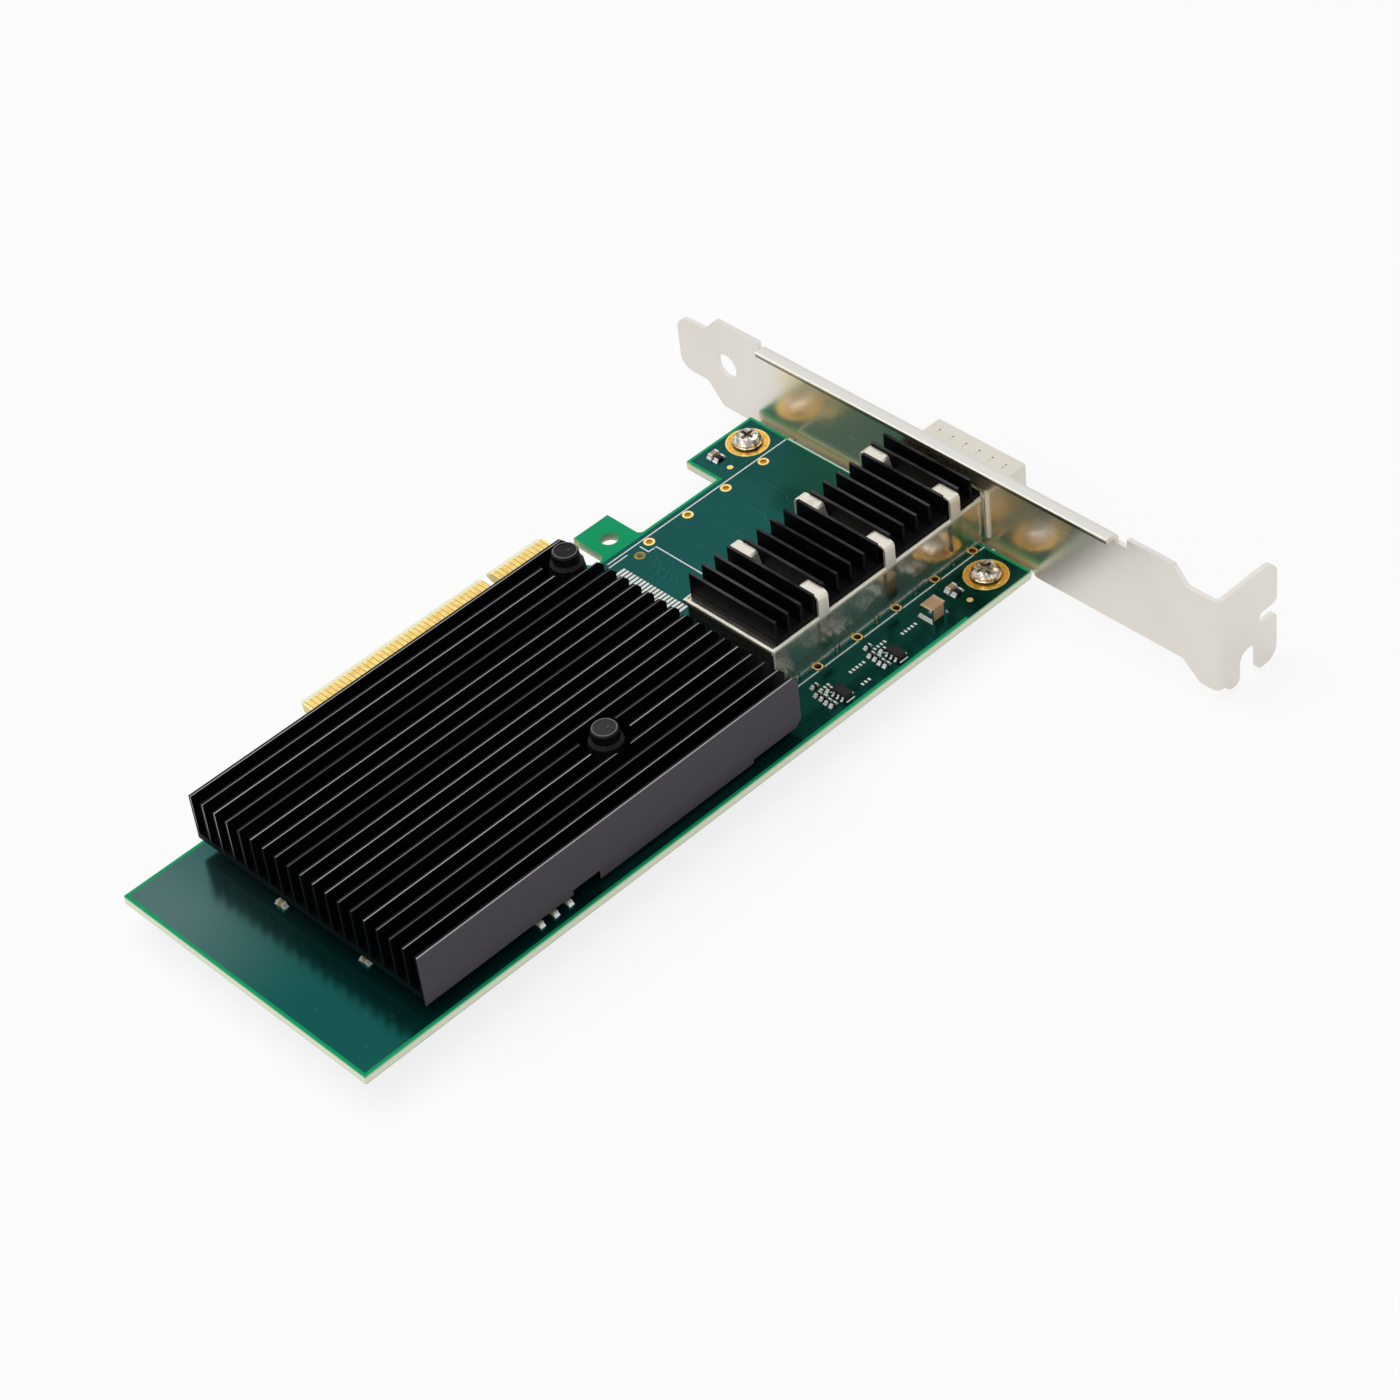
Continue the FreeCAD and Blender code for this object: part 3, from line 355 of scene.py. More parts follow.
def pad_finish(colours):
    """Gold screw pads: a paler rim, and painted shadow close round the screw head."""
    f = Finish("gold_screw_pad", metallic=1.0)
    radius = f.least(*[f.distance(f.x - place.x / MM, f.y - place.y / MM) for place in centres("screw_pads")])
    rim = f.within(radius, 3.55, 3.95, 0.08)
    # Painted shadow of the screw head on the pad.
    shade = f.rise(radius, 2.95, 2.6)
    blotch = f.noise(0.9, 3.0)
    colour = f.mix(f.rise(blotch, 0.45, 0.75), colours.gold, colours.gold_deep)
    colour = f.mix(shade * 0.7, colour, colours.gold_painted_shadow)
    f.set("Base Color", f.mix(rim * 0.8, colour, colours.gold_pale))
    f.set("Roughness", blotch * 0.2 + 0.16)
    f.relief(blotch * 0.5 + rim * 0.5, 0.02, 0.5)
    return f.material


def worn_sheet(f, colour, shade, grain):
    """Rolled grain, clouds and specks of a metal sheet, and the colour that they give it."""
    rolled = f.noise(1.0, 4.0, 0.65, f.stretch(*grain))
    cloud = f.noise(0.09, 3.0)
    specks = f.rise(f.cells(0.9), 0.06, 0.02)
    return rolled, cloud, specks, f.mix(cloud * 0.6 + rolled * 0.25 + specks * 0.3, colour, shade)


def sheet_finish(name, colour, shade, roughness, grain, blur=0.1, metallic=1.0, dents=0.0):
    """Plated or stainless sheet with a rolled grain along one axis, and shallow dents where asked."""
    f = Finish(name, metallic=metallic)
    rolled, cloud, specks, worn = worn_sheet(f, colour, shade, grain)
    f.set("Base Color", worn)
    f.set("Roughness", rolled * blur + cloud * 0.05 + roughness + specks * 0.1)
    if dents:
        f.relief(f.noise(0.4, 1.0), dents, 0.6)
    else:
        f.relief(rolled, 0.0015, 0.5)
    return f.material


def clip_finish(colours):
    """Spring sheet: softer straps with duller patches on top, and painted shade on the legs that run down the
    cage.
    """
    f = Finish("spring_clip", metallic=1.0)
    upper = f.rise(f.z, *STRAP_BEND)
    rolled = f.noise(1.0, 4.0, 0.65, f.stretch(4.0, 0.1, 0.1))
    cloud = f.noise(0.6, 3.0)
    # Duller patches on the straps' tops, and painted shade on the legs below the bend.
    patches_and_shade = f.most(upper * f.rise(cloud, 0.55, 0.7) * 0.4, (1 - upper) * 0.75)
    f.set("Base Color", f.mix(patches_and_shade + rolled * 0.2, colours.clip, colours.clip_shade))
    f.set("Metallic", 1 - upper * 0.3)
    f.set("Roughness", rolled * 0.1 + 0.14 + upper * 0.12)
    f.relief(f.noise(0.5, 1.0) + rolled * 0.006, 0.05, 0.6)
    return f.material


def edge_highlight_finish(colours):
    """Sheared edges of plated sheet: paler than the sheet as a painted highlight, and slightly uneven."""
    f = Finish("sheared_edges", metallic=0.25)
    uneven = f.noise(0.8, 3.0)
    f.set("Base Color", f.mix(f.rise(uneven, 0.5, 0.8) * 0.4, colours.edge, colours.cage_shade))
    f.set("Roughness", uneven * 0.2 + 0.3)
    f.relief(uneven, 0.01, 0.5)
    return f.material


def bracket_finish(colours):
    """Nickel-plated steel: a soft mirror; duller and painted darker as shade on the folded flange's top, a
    painted dark reflection below the flange's lip, and a painted warm reflection beside the board.
    """
    f = Finish("nickel_bracket", metallic=1.0)
    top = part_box("bracket")[1].z / MM
    lip = f.rise(f.across, -0.4, -0.8) * f.rise(f.x, BRACKET_INNER - 1.0, BRACKET_INNER - 1.2)
    flange = f.rise(f.facing, 0.5, 0.8) * f.rise(f.z, top - 0.4, top - 0.2)
    rolled, cloud, specks, colour = worn_sheet(f, colours.nickel, colours.nickel_shade, (4.0, 0.06, 4.0))
    # Painted warm reflection on the inner face beside the board: warmer and less metallic.
    beside_board = f.rise(f.z, -3, 1) * f.within(f.y, BOARD_LOW.y / MM, SHOULDER, 3)
    warm_reflection = beside_board * f.rise(f.across, -0.5, -0.9) * (0.75 + cloud * 0.5)
    colour = f.mix(warm_reflection * 0.7, colour, colours.nickel_painted_reflection)
    # Painted shade: the flange's upward face is greyer; it is also duller.
    colour = f.mix(flange * 0.8, colour, colours.flange)
    # Painted dark reflection on the lower part of the flange's lip.
    colour = f.mix(lip * f.rise(f.z, top - 0.3, top - 0.5), colour, colours.lip_painted_reflection)
    f.set("Base Color", colour)
    f.set("Roughness", rolled * 0.08 + cloud * 0.05 + 0.19 + specks * 0.1 + flange * 0.15)
    f.set("Metallic", 1 - warm_reflection * 0.13)
    f.relief(rolled, 0.0015, 0.5)
    return f.material


def anodised_finish(colours, name, box, highlight_strength, row=None):
    """Black anodising with extrusion lines, painted sheen on the outer wall and a painted highlight along
    each fin's top edge.

    row is the place of the first fin and the fins' pitch in mm; without it every top gets patches of painted
    highlight.
    """
    f = Finish(name, specular=0.06)
    low, high = box[0] / MM, box[1] / MM
    drawn = f.noise(1.0, 3.0, 0.6, f.stretch(0.05, 5.0, 5.0))
    grain = f.noise(5.0, 2.0, 0.7)
    bloom = f.noise(0.05, 3.0)
    top = f.rise(f.z, high.z - 0.06, high.z - 0.01)
    black = f.mix(bloom * 0.4 + drawn * 0.2, colours.anodised, colours.anodised_pale)
    if row:
        start, pitch = row
        # Painted highlight along each fin's top edge, down the far fins' ends and along the outer wall's top,
        # brighter on some fins than others.
        edge = f.rise(f.repeat(f.y - start, pitch), 0.2, 0.14)
        chance = f.rise(f.noise(0.55, 0.0, 0.5, f.stretch(0.004, 1.0, 0.0)), 0.3, 0.62) * 0.8 + 0.2
        outer = f.rise(f.y, low.y + 0.12, low.y + 0.03)
        # Painted sheen: the outer wall is greyer, as if it reflected the white surround.
        black = f.mix(outer * (1 - top) * (0.82 + grain * 0.36), black, colours.anodised_wall_sheen)
        far_end_highlights = f.rise(f.x, low.x + 0.05, low.x + 0.01) * edge * f.rise(f.y, high.y - 14, high.y - 7)
        far_end_highlights = far_end_highlights * f.rise(f.z, low.z + 2, low.z + 8) * 0.9
        line = f.most(top * edge * chance, far_end_highlights, outer * f.rise(f.z, high.z - 0.25, high.z - 0.1))
    else:
        # Painted highlight on the tops, in patches.
        line = top * f.rise(f.noise(0.12, 2.0), 0.25, 0.7)
    f.set("Base Color", f.mix(line * highlight_strength, black, colours.anodised_highlight))
    f.set("Roughness", drawn * 0.1 + bloom * 0.08 + 0.36)
    f.relief(drawn * 0.5 + grain * 0.5, 0.004, 0.6)
    return f.material


def moulded_finish(name, colour, pale, roughness, grain):
    """Moulded plastic or epoxy with a fine pitted skin."""
    f = Finish(name, specular=0.2)
    pits = f.cells(grain)
    cloud = f.noise(0.5, 3.0)
    f.set("Base Color", f.mix(cloud * 0.5 + f.rise(pits, 0.5, 0.1) * 0.3, colour, pale))
    f.set("Roughness", cloud * 0.15 + roughness)
    f.relief(pits * 0.6 + cloud * 0.4, 0.012, 0.6)
    return f.material


def pin_finish(colours):
    """Black nylon with a painted highlight on the rim; the near pin's flat cap is paler and pitted."""
    f = Finish("black_nylon", specular=0.12)
    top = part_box("push_pins")[1].z / MM
    cap = f.rise(f.z, top - 0.12, top - 0.02)
    rim = f.rise(f.z, top + 0.03, top + 0.09)
    near_pin = f.rise(f.y, FAR_PIN, NEAR_PIN)
    pits = f.rise(f.noise(3.0, 3.0, 0.7), 0.42, 0.68)
    skin = f.mix(f.noise(0.7, 2.0) * 0.6, colours.nylon, colours.nylon_pale)
    skin = f.mix(cap * (0.3 + pits * 0.5) * near_pin, skin, colours.nylon_cap)
    # Painted highlight on the rounded rim of each cap.
    f.set("Base Color", f.mix(rim, skin, colours.nylon_rim_highlight))
    f.set("Roughness", 0.3 + pits * 0.2)
    f.relief(pits * cap + f.noise(6.0, 2.0) * 0.3, 0.03, 0.8)
    return f.material


def ceramic_finish(name, colour, shade):
    """Fired ceramic body with faint layers."""
    f = Finish(name)
    layers = f.math("SINE", f.z * 26.0) * 0.5 + 0.5
    cloud = f.noise(1.3, 3.0)
    f.set("Base Color", f.mix(cloud * 0.6 + layers * 0.1, colour, shade))
    f.set("Roughness", cloud * 0.2 + 0.35)
    f.relief(cloud * 0.6 + layers * 0.4, 0.01, 0.5)
    return f.material


def tin_finish(colours, name="tinned_metal", roughness=0.2):
    """Bright tin with a slightly grainy surface."""
    f = Finish(name, metallic=0.25)
    grain = f.noise(3.2, 3.0, 0.6)
    cloud = f.noise(0.8, 2.0)
    f.set("Base Color", f.mix(cloud * 0.5 + grain * 0.3, colours.tin, colours.tin_shade))
    f.set("Roughness", grain * 0.2 + roughness)
    f.relief(grain, 0.02, 0.5)
    return f.material


def cap_end_finish(colours):
    """Metal ends of the large capacitor: tan where they wrap over the top, mirrors at the sides."""
    f = Finish("capacitor_ends", metallic=1.0)
    over = f.rise(f.facing, 0.5, 0.8)
    cloud = f.noise(1.3, 3.0)
    side = f.mix(cloud, colours.tin, colours.tin_shade)
    f.set("Base Color", f.mix(over, side, f.mix(cloud, colours.ceramic, colours.ceramic_edge)))
    f.set("Metallic", 1 - over * 0.8)
    f.set("Roughness", cloud * 0.1 + 0.1 + over * 0.3)
    f.relief(cloud, 0.01, 0.5)
    return f.material


def screw_finish(colours):
    """Polished nickel with painted dark reflections in patches, painted shade lower on the head and a painted
    shadow band near its foot.
    """
    f = Finish("polished_screw", metallic=1.0)
    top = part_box("bracket_screws")[1].z / MM
    # Painted reflections and shade: dark patches, a little shade below the dome's top, and a shadow band low
    # on the head.
    patches = f.rise(f.noise(1.1, 1.0, 0.5), 0.44, 0.56)
    turning = f.noise(2.6, 3.0, 0.6)
    deep = f.rise(f.z, top - 0.3, top - 0.7)
    shadow_band = f.within(f.z, top - 1.72, top - 1.35, 0.08)
    dark = f.most(shadow_band * 0.9, deep * 0.2, patches * 0.6)
    f.set("Base Color", f.mix(dark + turning * 0.15, colours.screw, colours.screw_shade))
    f.set("Roughness", turning * 0.1 + 0.06)
    f.relief(turning * 0.5 + patches * 0.5, 0.03, 0.5)
    return f.material


def ink_finish(colours):
    """White printing ink, slightly translucent and uneven."""
    f = Finish("printing_ink")
    patchy = f.noise(2.4, 3.0, 0.6)
    f.set("Base Color", f.mix(f.rise(patchy, 0.5, 0.8) * 0.35, colours.ink, colours.mask_pale))
    f.set("Roughness", patchy * 0.2 + 0.45)
    f.relief(patchy, 0.01, 0.5)
    return f.material


def trace_finish(colours):
    """Solder mask lying over copper traces, a little paler than the board, with painted shade in the near
    strip.
    """
    f = Finish("masked_traces", specular=0.06, metallic=0.6)
    cloud = f.noise(0.2, 2.0)
    end = BOARD_LOW.y / MM + NEAR_STRIP + 3
    # Painted shade in the near strip, as on the board.
    strip = f.rise(f.y, end + 1, end)
    pale = f.mix(cloud, colours.mask_pale, colours.mask)
    f.set("Base Color", f.mix(strip, pale, f.mix(cloud, colours.mask_deep, colours.mask_painted_shade)))
    f.set("Roughness", f.noise(0.6, 2.0) * 0.1 + 0.16)
    f.relief(f.noise(2.6, 3.0), 0.006, 0.5)
    return f.material


# Meshes ---------------------------------------------------------------------------------------

def solids(node):
    """Lowest and highest corner of each separate solid of a CAD node."""
    mesh = bmesh.new()
    mesh.from_mesh(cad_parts[node].data)
    bmesh.ops.remove_doubles(mesh, verts=mesh.verts, dist=1e-6)
    waiting = set(mesh.verts)
    boxes = []
    while waiting:
        front = [waiting.pop()]
        island = []
        while front:
            vert = front.pop()
            island.append(vert.co.copy())
            for edge in vert.link_edges:
                other = edge.other_vert(vert)
                if other in waiting:
                    waiting.remove(other)
                    front.append(other)
        low = Vector([min(point[axis] for point in island) for axis in range(3)])
        high = Vector([max(point[axis] for point in island) for axis in range(3)])
        boxes.append((low, high))
    mesh.free()
    return sorted(boxes, key=lambda ends: tuple(ends[0]))


def centres(node):
    """Middles of a node's solids on the component face."""
    return [(low + high) / 2 for low, high in solids(node) if high.z > IN_BOARD]


def finished(mesh, name, material):
    """Closes a mesh into a piece that rides on the card."""
    bmesh.ops.recalc_face_normals(mesh, faces=mesh.faces)
    mesh.faces.sort(key=lambda face: face.calc_center_median().dot(FACE_ORDER))
    data = bpy.data.meshes.new(name)
    mesh.to_mesh(data)
    mesh.free()
    piece = bpy.data.objects.new(name, data)
    data.materials.append(material)
    bpy.context.scene.collection.objects.link(piece)
    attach(piece, "root")


def dress(material, *nodes):
    """Gives CAD nodes their finish."""
    for node in nodes:
        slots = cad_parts[node].data.materials
        slots.clear()
        slots.append(material)


def touching(verts, kind):
    """The link_edges or link_faces of some vertices, each once."""
    return list(dict.fromkeys(part for vert in verts for part in getattr(vert, kind)))


def thicken(mesh, faces, thickness):
    """Gives flat faces a thickness upwards."""
    grown = bmesh.ops.extrude_face_region(mesh, geom=faces)["geom"]
    verts = [part for part in grown if isinstance(part, bmesh.types.BMVert)]
    bmesh.ops.translate(mesh, vec=(0, 0, thickness), verts=verts)


def ribbon(mesh, path, width, thickness):
    """Flat strip of ink or copper along a path, mitred at its corners and given a thickness."""
    def side(i):
        runs = [path[j + 1] - path[j] for j in (i - 1, i) if 0 <= j < len(path) - 1]
        rights = [Vector((run.y, -run.x, 0)).normalized() for run in runs]
        middle = sum(rights, Vector()).normalized()
        return middle * (width / 2 / middle.dot(rights[0]))

    edge = mesh.edges.new([mesh.verts.new(path[0] + sign * side(0)) for sign in (-1, 1)])
    faces = []
    for i in range(1, len(path)):
        grown = bmesh.ops.extrude_edge_only(mesh, edges=[edge])["geom"]
        edge = next(part for part in grown if isinstance(part, bmesh.types.BMEdge))
        faces += [part for part in grown if isinstance(part, bmesh.types.BMFace)]
        for vert in edge.verts:
            sign = 1 if (vert.co - path[i - 1]).dot(side(i - 1)) > 0 else -1
            vert.co = path[i] + sign * side(i)
    thicken(mesh, faces, thickness)


def disc(mesh, centre, radius, thickness, sides, hole=0.0):
    """Flat disc or washer lying on a face."""
    place = Matrix.Translation(centre)
    rim = bmesh.ops.create_circle(mesh, cap_ends=hole == 0, radius=radius, segments=sides,
                                  matrix=place)["verts"]
    faces = touching(rim, "link_faces")
    if hole:
        inner = bmesh.ops.create_circle(mesh, radius=hole, segments=sides, matrix=place)["verts"]
        faces = bmesh.ops.bridge_loops(mesh, edges=touching(rim + inner, "link_edges"))["faces"]
    thicken(mesh, faces, thickness)


def rod(mesh, start, end, radius):
    """Straight eight-sided rod with flat ends."""
    along = end - start
    place = Matrix.Translation((start + end) / 2) @ along.to_track_quat("Z", "Y").to_matrix().to_4x4()
    bmesh.ops.create_cone(mesh, cap_ends=True, segments=8, radius1=radius, radius2=radius,
                          depth=along.length, matrix=place)


def block(mesh, low, high):
    """Box between two corners."""
    size = high - low
    place = Matrix.Translation((low + high) / 2) @ Matrix.Diagonal((size.x, size.y, size.z, 1))
    bmesh.ops.create_cube(mesh, size=1.0, matrix=place)


def fillet(mesh, foot, outward, width, height, reach, up):
    """Solder wedge climbing a lead: concave towards the board and full against the metal."""
    toe, splay, bevel = 0.12, 0.25, 0.12  # shares of the height, the width and the reach
    made = bmesh.ops.create_cube(mesh, size=1.0)["verts"]
    aside = Vector((-outward.y, outward.x, 0))
    for vert in made:
        out, across, rise = vert.co.x + 0.5, vert.co.y, vert.co.z + 0.5
        tall = height * rise * (1 - out + toe)
        vert.co = (foot + outward * (out * reach) + aside * (across * width * (1 + splay * out))
                   + Vector((0, 0, up * tall)))
    slopes = [edge for edge in touching(made, "link_edges")
              if abs((edge.verts[0].co - edge.verts[1].co).dot(aside)) < width * 0.18]
    bmesh.ops.bevel(mesh, geom=slopes, offset=reach * bevel, segments=1, affect="EDGES", profile=0.5,
                    material=-1)


# Settings -------------------------------------------------------------------------------------

def colour(name, description, default):
    return bpy.props.FloatVectorProperty(name=name, description=description, subtype="COLOR", size=3,
                                         min=0.0, max=1.0, default=default)


def length(name, description, default):
    return bpy.props.FloatProperty(name=name, description=description, unit="LENGTH", min=0.0,
                                   default=default)


class CardColours(bpy.types.PropertyGroup):
    """Colours of the card's finishes."""
    mask: colour("Mask", "Solder mask over copper", (0.007, 0.090, 0.082))
    mask_deep: colour("Deep mask", "Solder mask where it looks darkest", (0.004, 0.070, 0.062))
    mask_pale: colour("Pale mask", "Solder mask over traces and vias", (0.02, 0.165, 0.145))
    # Colour of the painted shade in the strip beside the port.
    mask_painted_shade: colour("Shaded mask", "Solder mask of the strip beside the port", (0.001, 0.045, 0.033))
    # Colour of the painted sheen at the board's far left end.
    mask_painted_sheen: colour("Dusty mask", "Solder mask under a film of dust", (0.14, 0.22, 0.22))
    mask_olive: colour("Mask over gold", "Solder mask over a plated ring", (0.13, 0.16, 0.04))
    mask_thin: colour("Thin mask", "Solder mask with no copper under it", (0.001, 0.36, 0.13))
    laminate: colour("Laminate", "Bare glass laminate at a cut edge", (0.94, 0.95, 0.76))
    laminate_shade: colour("Laminate shade", "Darker layers of the cut edge", (0.50, 0.68, 0.44))
    laminate_dark: colour("Dark laminate", "Lowest line of the cut edge", (0.30, 0.28, 0.16))
    tongue: colour("Tongue", "Bare laminate between the contacts", (0.46, 0.29, 0.05))
    bevel: colour("Bevel", "Gilt laminate round the contacts", (0.95, 0.79, 0.33))
    gold: colour("Gold", "Gold plating", (0.92, 0.56, 0.11))
    gold_deep: colour("Deep gold", "Stained gold", (0.70, 0.34, 0.04))
    # Plating inside the holes, a darker gold with painted shade.
    gold_inside_shaded: colour("Inner gold", "Plating inside a hole", (0.42, 0.20, 0.02))
    gold_painted_shadow: colour("Gold shade", "Gold in the shadow of a screw head", (0.20, 0.09, 0.01))
    gold_contact: colour("Contact gold", "Hard gold of the contacts", (0.93, 0.74, 0.28))
    gold_pale: colour("Pale gold", "Gold at a rim or on a fiducial dot", (1.0, 0.82, 0.34))
    nickel: colour("Nickel", "Plated steel of the bracket", (0.82, 0.78, 0.725))
    nickel_shade: colour("Nickel shade", "Duller patches of the bracket", (0.70, 0.665, 0.605))
    # Colour of the painted warm reflection on the bracket beside the board.
    nickel_painted_reflection: colour("Handled nickel", "Yellowed part of the bracket, by the board", (0.80, 0.63, 0.38))
    # Colour of the flange's top, painted darker as shade.
    flange: colour("Flange", "Top of the bracket's folded flange", (0.64, 0.63, 0.60))
    # Pale cream painted highlight for the sheared edges.
    edge: colour("Sheared edge", "Bright sheared edges of the sheet pieces", (0.93, 0.90, 0.78))
    # Colour of the painted dark reflection on the lip.
    lip_painted_reflection: colour("Lip shade", "Lower part of the flange's lip", (0.20, 0.18, 0.12))
    cage: colour("Cage", "Plated sheet of the port cage", (0.78, 0.73, 0.63))
    cage_shade: colour("Cage shade", "Duller patches of the cage", (0.6, 0.58, 0.52))
    clip: colour("Clip", "Stainless spring sheet", (0.82, 0.77, 0.67))
    # Also the painted shade on the clip's legs down the cage.
    clip_shade: colour("Clip shade", "Duller patches of the clip", (0.50, 0.47, 0.39))
    screw: colour("Screw", "Polished nickel", (0.92, 0.89, 0.83))
    # Painted dark reflections and shade on the screws; also the spring wire's duller patches.
    screw_shade: colour("Screw shade", "Recess and dark reflections", (0.06, 0.05, 0.04))
    anodised: colour("Anodised", "Black anodising", (0.0008, 0.0008, 0.001))
    anodised_pale: colour("Pale anodised", "Bloom on the black", (0.006, 0.0055, 0.0075))
    # Painted sheen on the large heat sink's outer wall.
    anodised_wall_sheen: colour("Anodised wall", "Outer wall of the large heat sink", (0.079, 0.071, 0.084))
    # Painted highlight along the fins' top edges.
    anodised_highlight: colour("Anodised edge", "Worn top edges of the fins", (0.52, 0.51, 0.53))
    nylon: colour("Nylon", "Black push pins", (0.003, 0.003, 0.004))
    nylon_pale: colour("Pale nylon", "Rubbed nylon", (0.009, 0.009, 0.011))
    # Painted highlight on the rims of the push pins' caps.
    nylon_rim_highlight: colour("Cap rim", "Scuffed rim of a push pin", (0.16, 0.155, 0.17))
    nylon_cap: colour("Nylon cap", "Pitted flat of a push pin", (0.055, 0.053, 0.06))
    resin: colour("Resin", "Epoxy of the small packages", (0.012, 0.013, 0.014))
    resin_pale: colour("Pale resin", "Epoxy where light catches it", (0.045, 0.047, 0.05))
    ceramic: colour("Ceramic", "Body of the capacitors", (0.50, 0.33, 0.19))
    ceramic_edge: colour("Ceramic edge", "Paler rubbed ceramic", (0.62, 0.47, 0.32))
    ceramic_shade: colour("Ceramic shade", "Darker ceramic", (0.30, 0.17, 0.08))
    tin: colour("Tin", "Tinned ends, leads and solder", (0.95, 0.95, 0.93))
    tin_shade: colour("Tin shade", "Duller solder", (0.62, 0.62, 0.6))
    ink: colour("Ink", "Printed lines", (0.80, 0.82, 0.80))


class CardSizes(bpy.types.PropertyGroup):
    """Sizes of the detail added to the frame."""
    ink_width: length("Ink width", "Width of a printed line", 0.00024)
    ink_height: length("Ink height", "Thickness of the ink", 0.00002)
    dot_radius: length("Dot radius", "Radius of a printed dot", 0.0002)
    trace_width: length("Trace width", "Width of a copper trace", 0.00016)
    trace_height: length("Trace height", "Height of a masked trace", 0.000025)
    trace_pitch: length("Trace pitch", "Distance between traces", 0.0005)
    via_radius: length("Via radius", "Outer radius of a small via", 0.00026)
    solder_reach: length("Solder reach", "How far solder spreads from a chip's end", 0.0003)
    thread_depth: length("Thread depth", "Height of the screw thread", 0.00018)
    thread_pitch: length("Thread pitch", "Rise of the screw thread in a turn", 0.0005)
    pad_width: length("Pad width", "Width of an empty tinned pad", 0.00036)
    edge_radius: length("Edge radius", "Radius of the rounded sheared edges", 0.00014)


class CardStudio(bpy.types.PropertyGroup):
    """Camera and light."""
    camera: bpy.props.FloatVectorProperty(
        name="Camera", description="Place of the camera", subtype="TRANSLATION", size=3,
        default=(-0.278638, -0.386676, 0.397056))
    heading: bpy.props.FloatProperty(name="Heading", description="Direction of view in plan", subtype="ANGLE",
                                     default=radians(50.28))
    dip: bpy.props.FloatProperty(name="Dip", description="Direction of view below level", subtype="ANGLE",
                                 default=radians(42.164))
    roll: bpy.props.FloatProperty(name="Roll", description="Turn of the camera about its view",
                                  subtype="ANGLE", default=radians(-7.287))
    lens: bpy.props.FloatProperty(name="Lens", description="Focal length in mm on a 36 mm sensor",
                                  default=97.38)
    surround: bpy.props.FloatProperty(name="Surround", description="Light from all round", default=0.5)
    key: bpy.props.FloatProperty(name="Key", description="Power of the overhead softbox in watts",
                                 default=4.5)
    fill: bpy.props.FloatProperty(name="Fill", description="Power of the side softbox in watts", default=1.2)


# Operators ------------------------------------------------------------------------------------

class CARD_OT_board(bpy.types.Operator):
    """Finish the circuit board and its plating"""
    bl_idname = "card.board"
    bl_label = "Board and plating"

    def execute(self, context):
        colours = context.scene.card_colours
        dress(board_finish(colours), "circuit_board")
        dress(gold_finish(colours, "gold_contacts", 0.2, colours.gold_contact), "edge_contacts")
        dress(ring_finish(colours), "ground_rings")
        dress(gold_finish(colours, "gold_fiducials", 0.3, colours.gold_pale), "fiducials")
        dress(pad_finish(colours), "screw_pads")
        dress(tin_finish(colours, "tinned_pads", 0.3), "spare_port_pads")
        return {"FINISHED"}


class CARD_OT_printing(bpy.types.Operator):
    """Print the white lines round the ports and beside the small parts"""
    bl_idname = "card.printing"
    bl_label = "Printed lines"

    def execute(self, context):
        sizes = context.scene.card_sizes
        mesh = bmesh.new()
        lines = list(PRINTED_LINES)
        reach, away = 0.9, 1.75  # mm, the lines beside a regulator
        for x, y in REGULATORS:
            lines += [((x - reach, y + side), (x + reach, y + side)) for side in (away, -away)]
        for line in lines:
            ribbon(mesh, [at(*point) for point in line], sizes.ink_width, sizes.ink_height)
        for point in FIRST_LEGS:
            disc(mesh, at(*point), sizes.dot_radius, sizes.ink_height, 10)
        finished(mesh, "printed_lines", ink_finish(context.scene.card_colours))
        return {"FINISHED"}


class CARD_OT_traces(bpy.types.Operator):
    """Lay the masked copper traces that show through the solder mask"""
    bl_idname = "card.traces"
    bl_label = "Masked traces"

    def execute(self, context):
        sizes = context.scene.card_sizes
        pitch = sizes.trace_pitch / MM
        mesh = bmesh.new()
        paths = []
        for i in range(9):  # from the second connector position, bending towards the edge connector
            y, bend = 36.9 + i * 1.6, i * pitch * 0.5
            stop = 19.0 + (i % 3) * 0.9 + bend
            paths.append(((16.4, y), (17.2 + bend, y), (stop, y + 1.4), (stop, y + 3.0)))
        for i in range(6):  # along the free edge
            y, bend = 0.95 + i * pitch * 0.7, 11.5 + i * 1.9
            paths.append(((-3.0, y), (bend, y), (bend + 0.6, y + 0.6), (bend + 14, y + 0.6)))
        for i in range(5):  # along the near row of rings
            y, bend = 7.6 + i * pitch * 0.8, 31.0 + i * 2.0
            paths.append(((8.0, y), (bend, y), (bend + 0.4, y - 0.4), (44.0, y - 0.4)))
        for i in range(4):  # across the card, beyond the port
            x = 26.5 + i * 6.2
            paths.append(((x, 31.5), (x, 40.0 + i), (x + 1.2, 41.2 + i), (x + 1.2, 47.0 + i)))
        for path in paths:
            ribbon(mesh, [at(*point) for point in path], sizes.trace_width, sizes.trace_height)
        finished(mesh, "masked_traces", trace_finish(context.scene.card_colours))
        return {"FINISHED"}


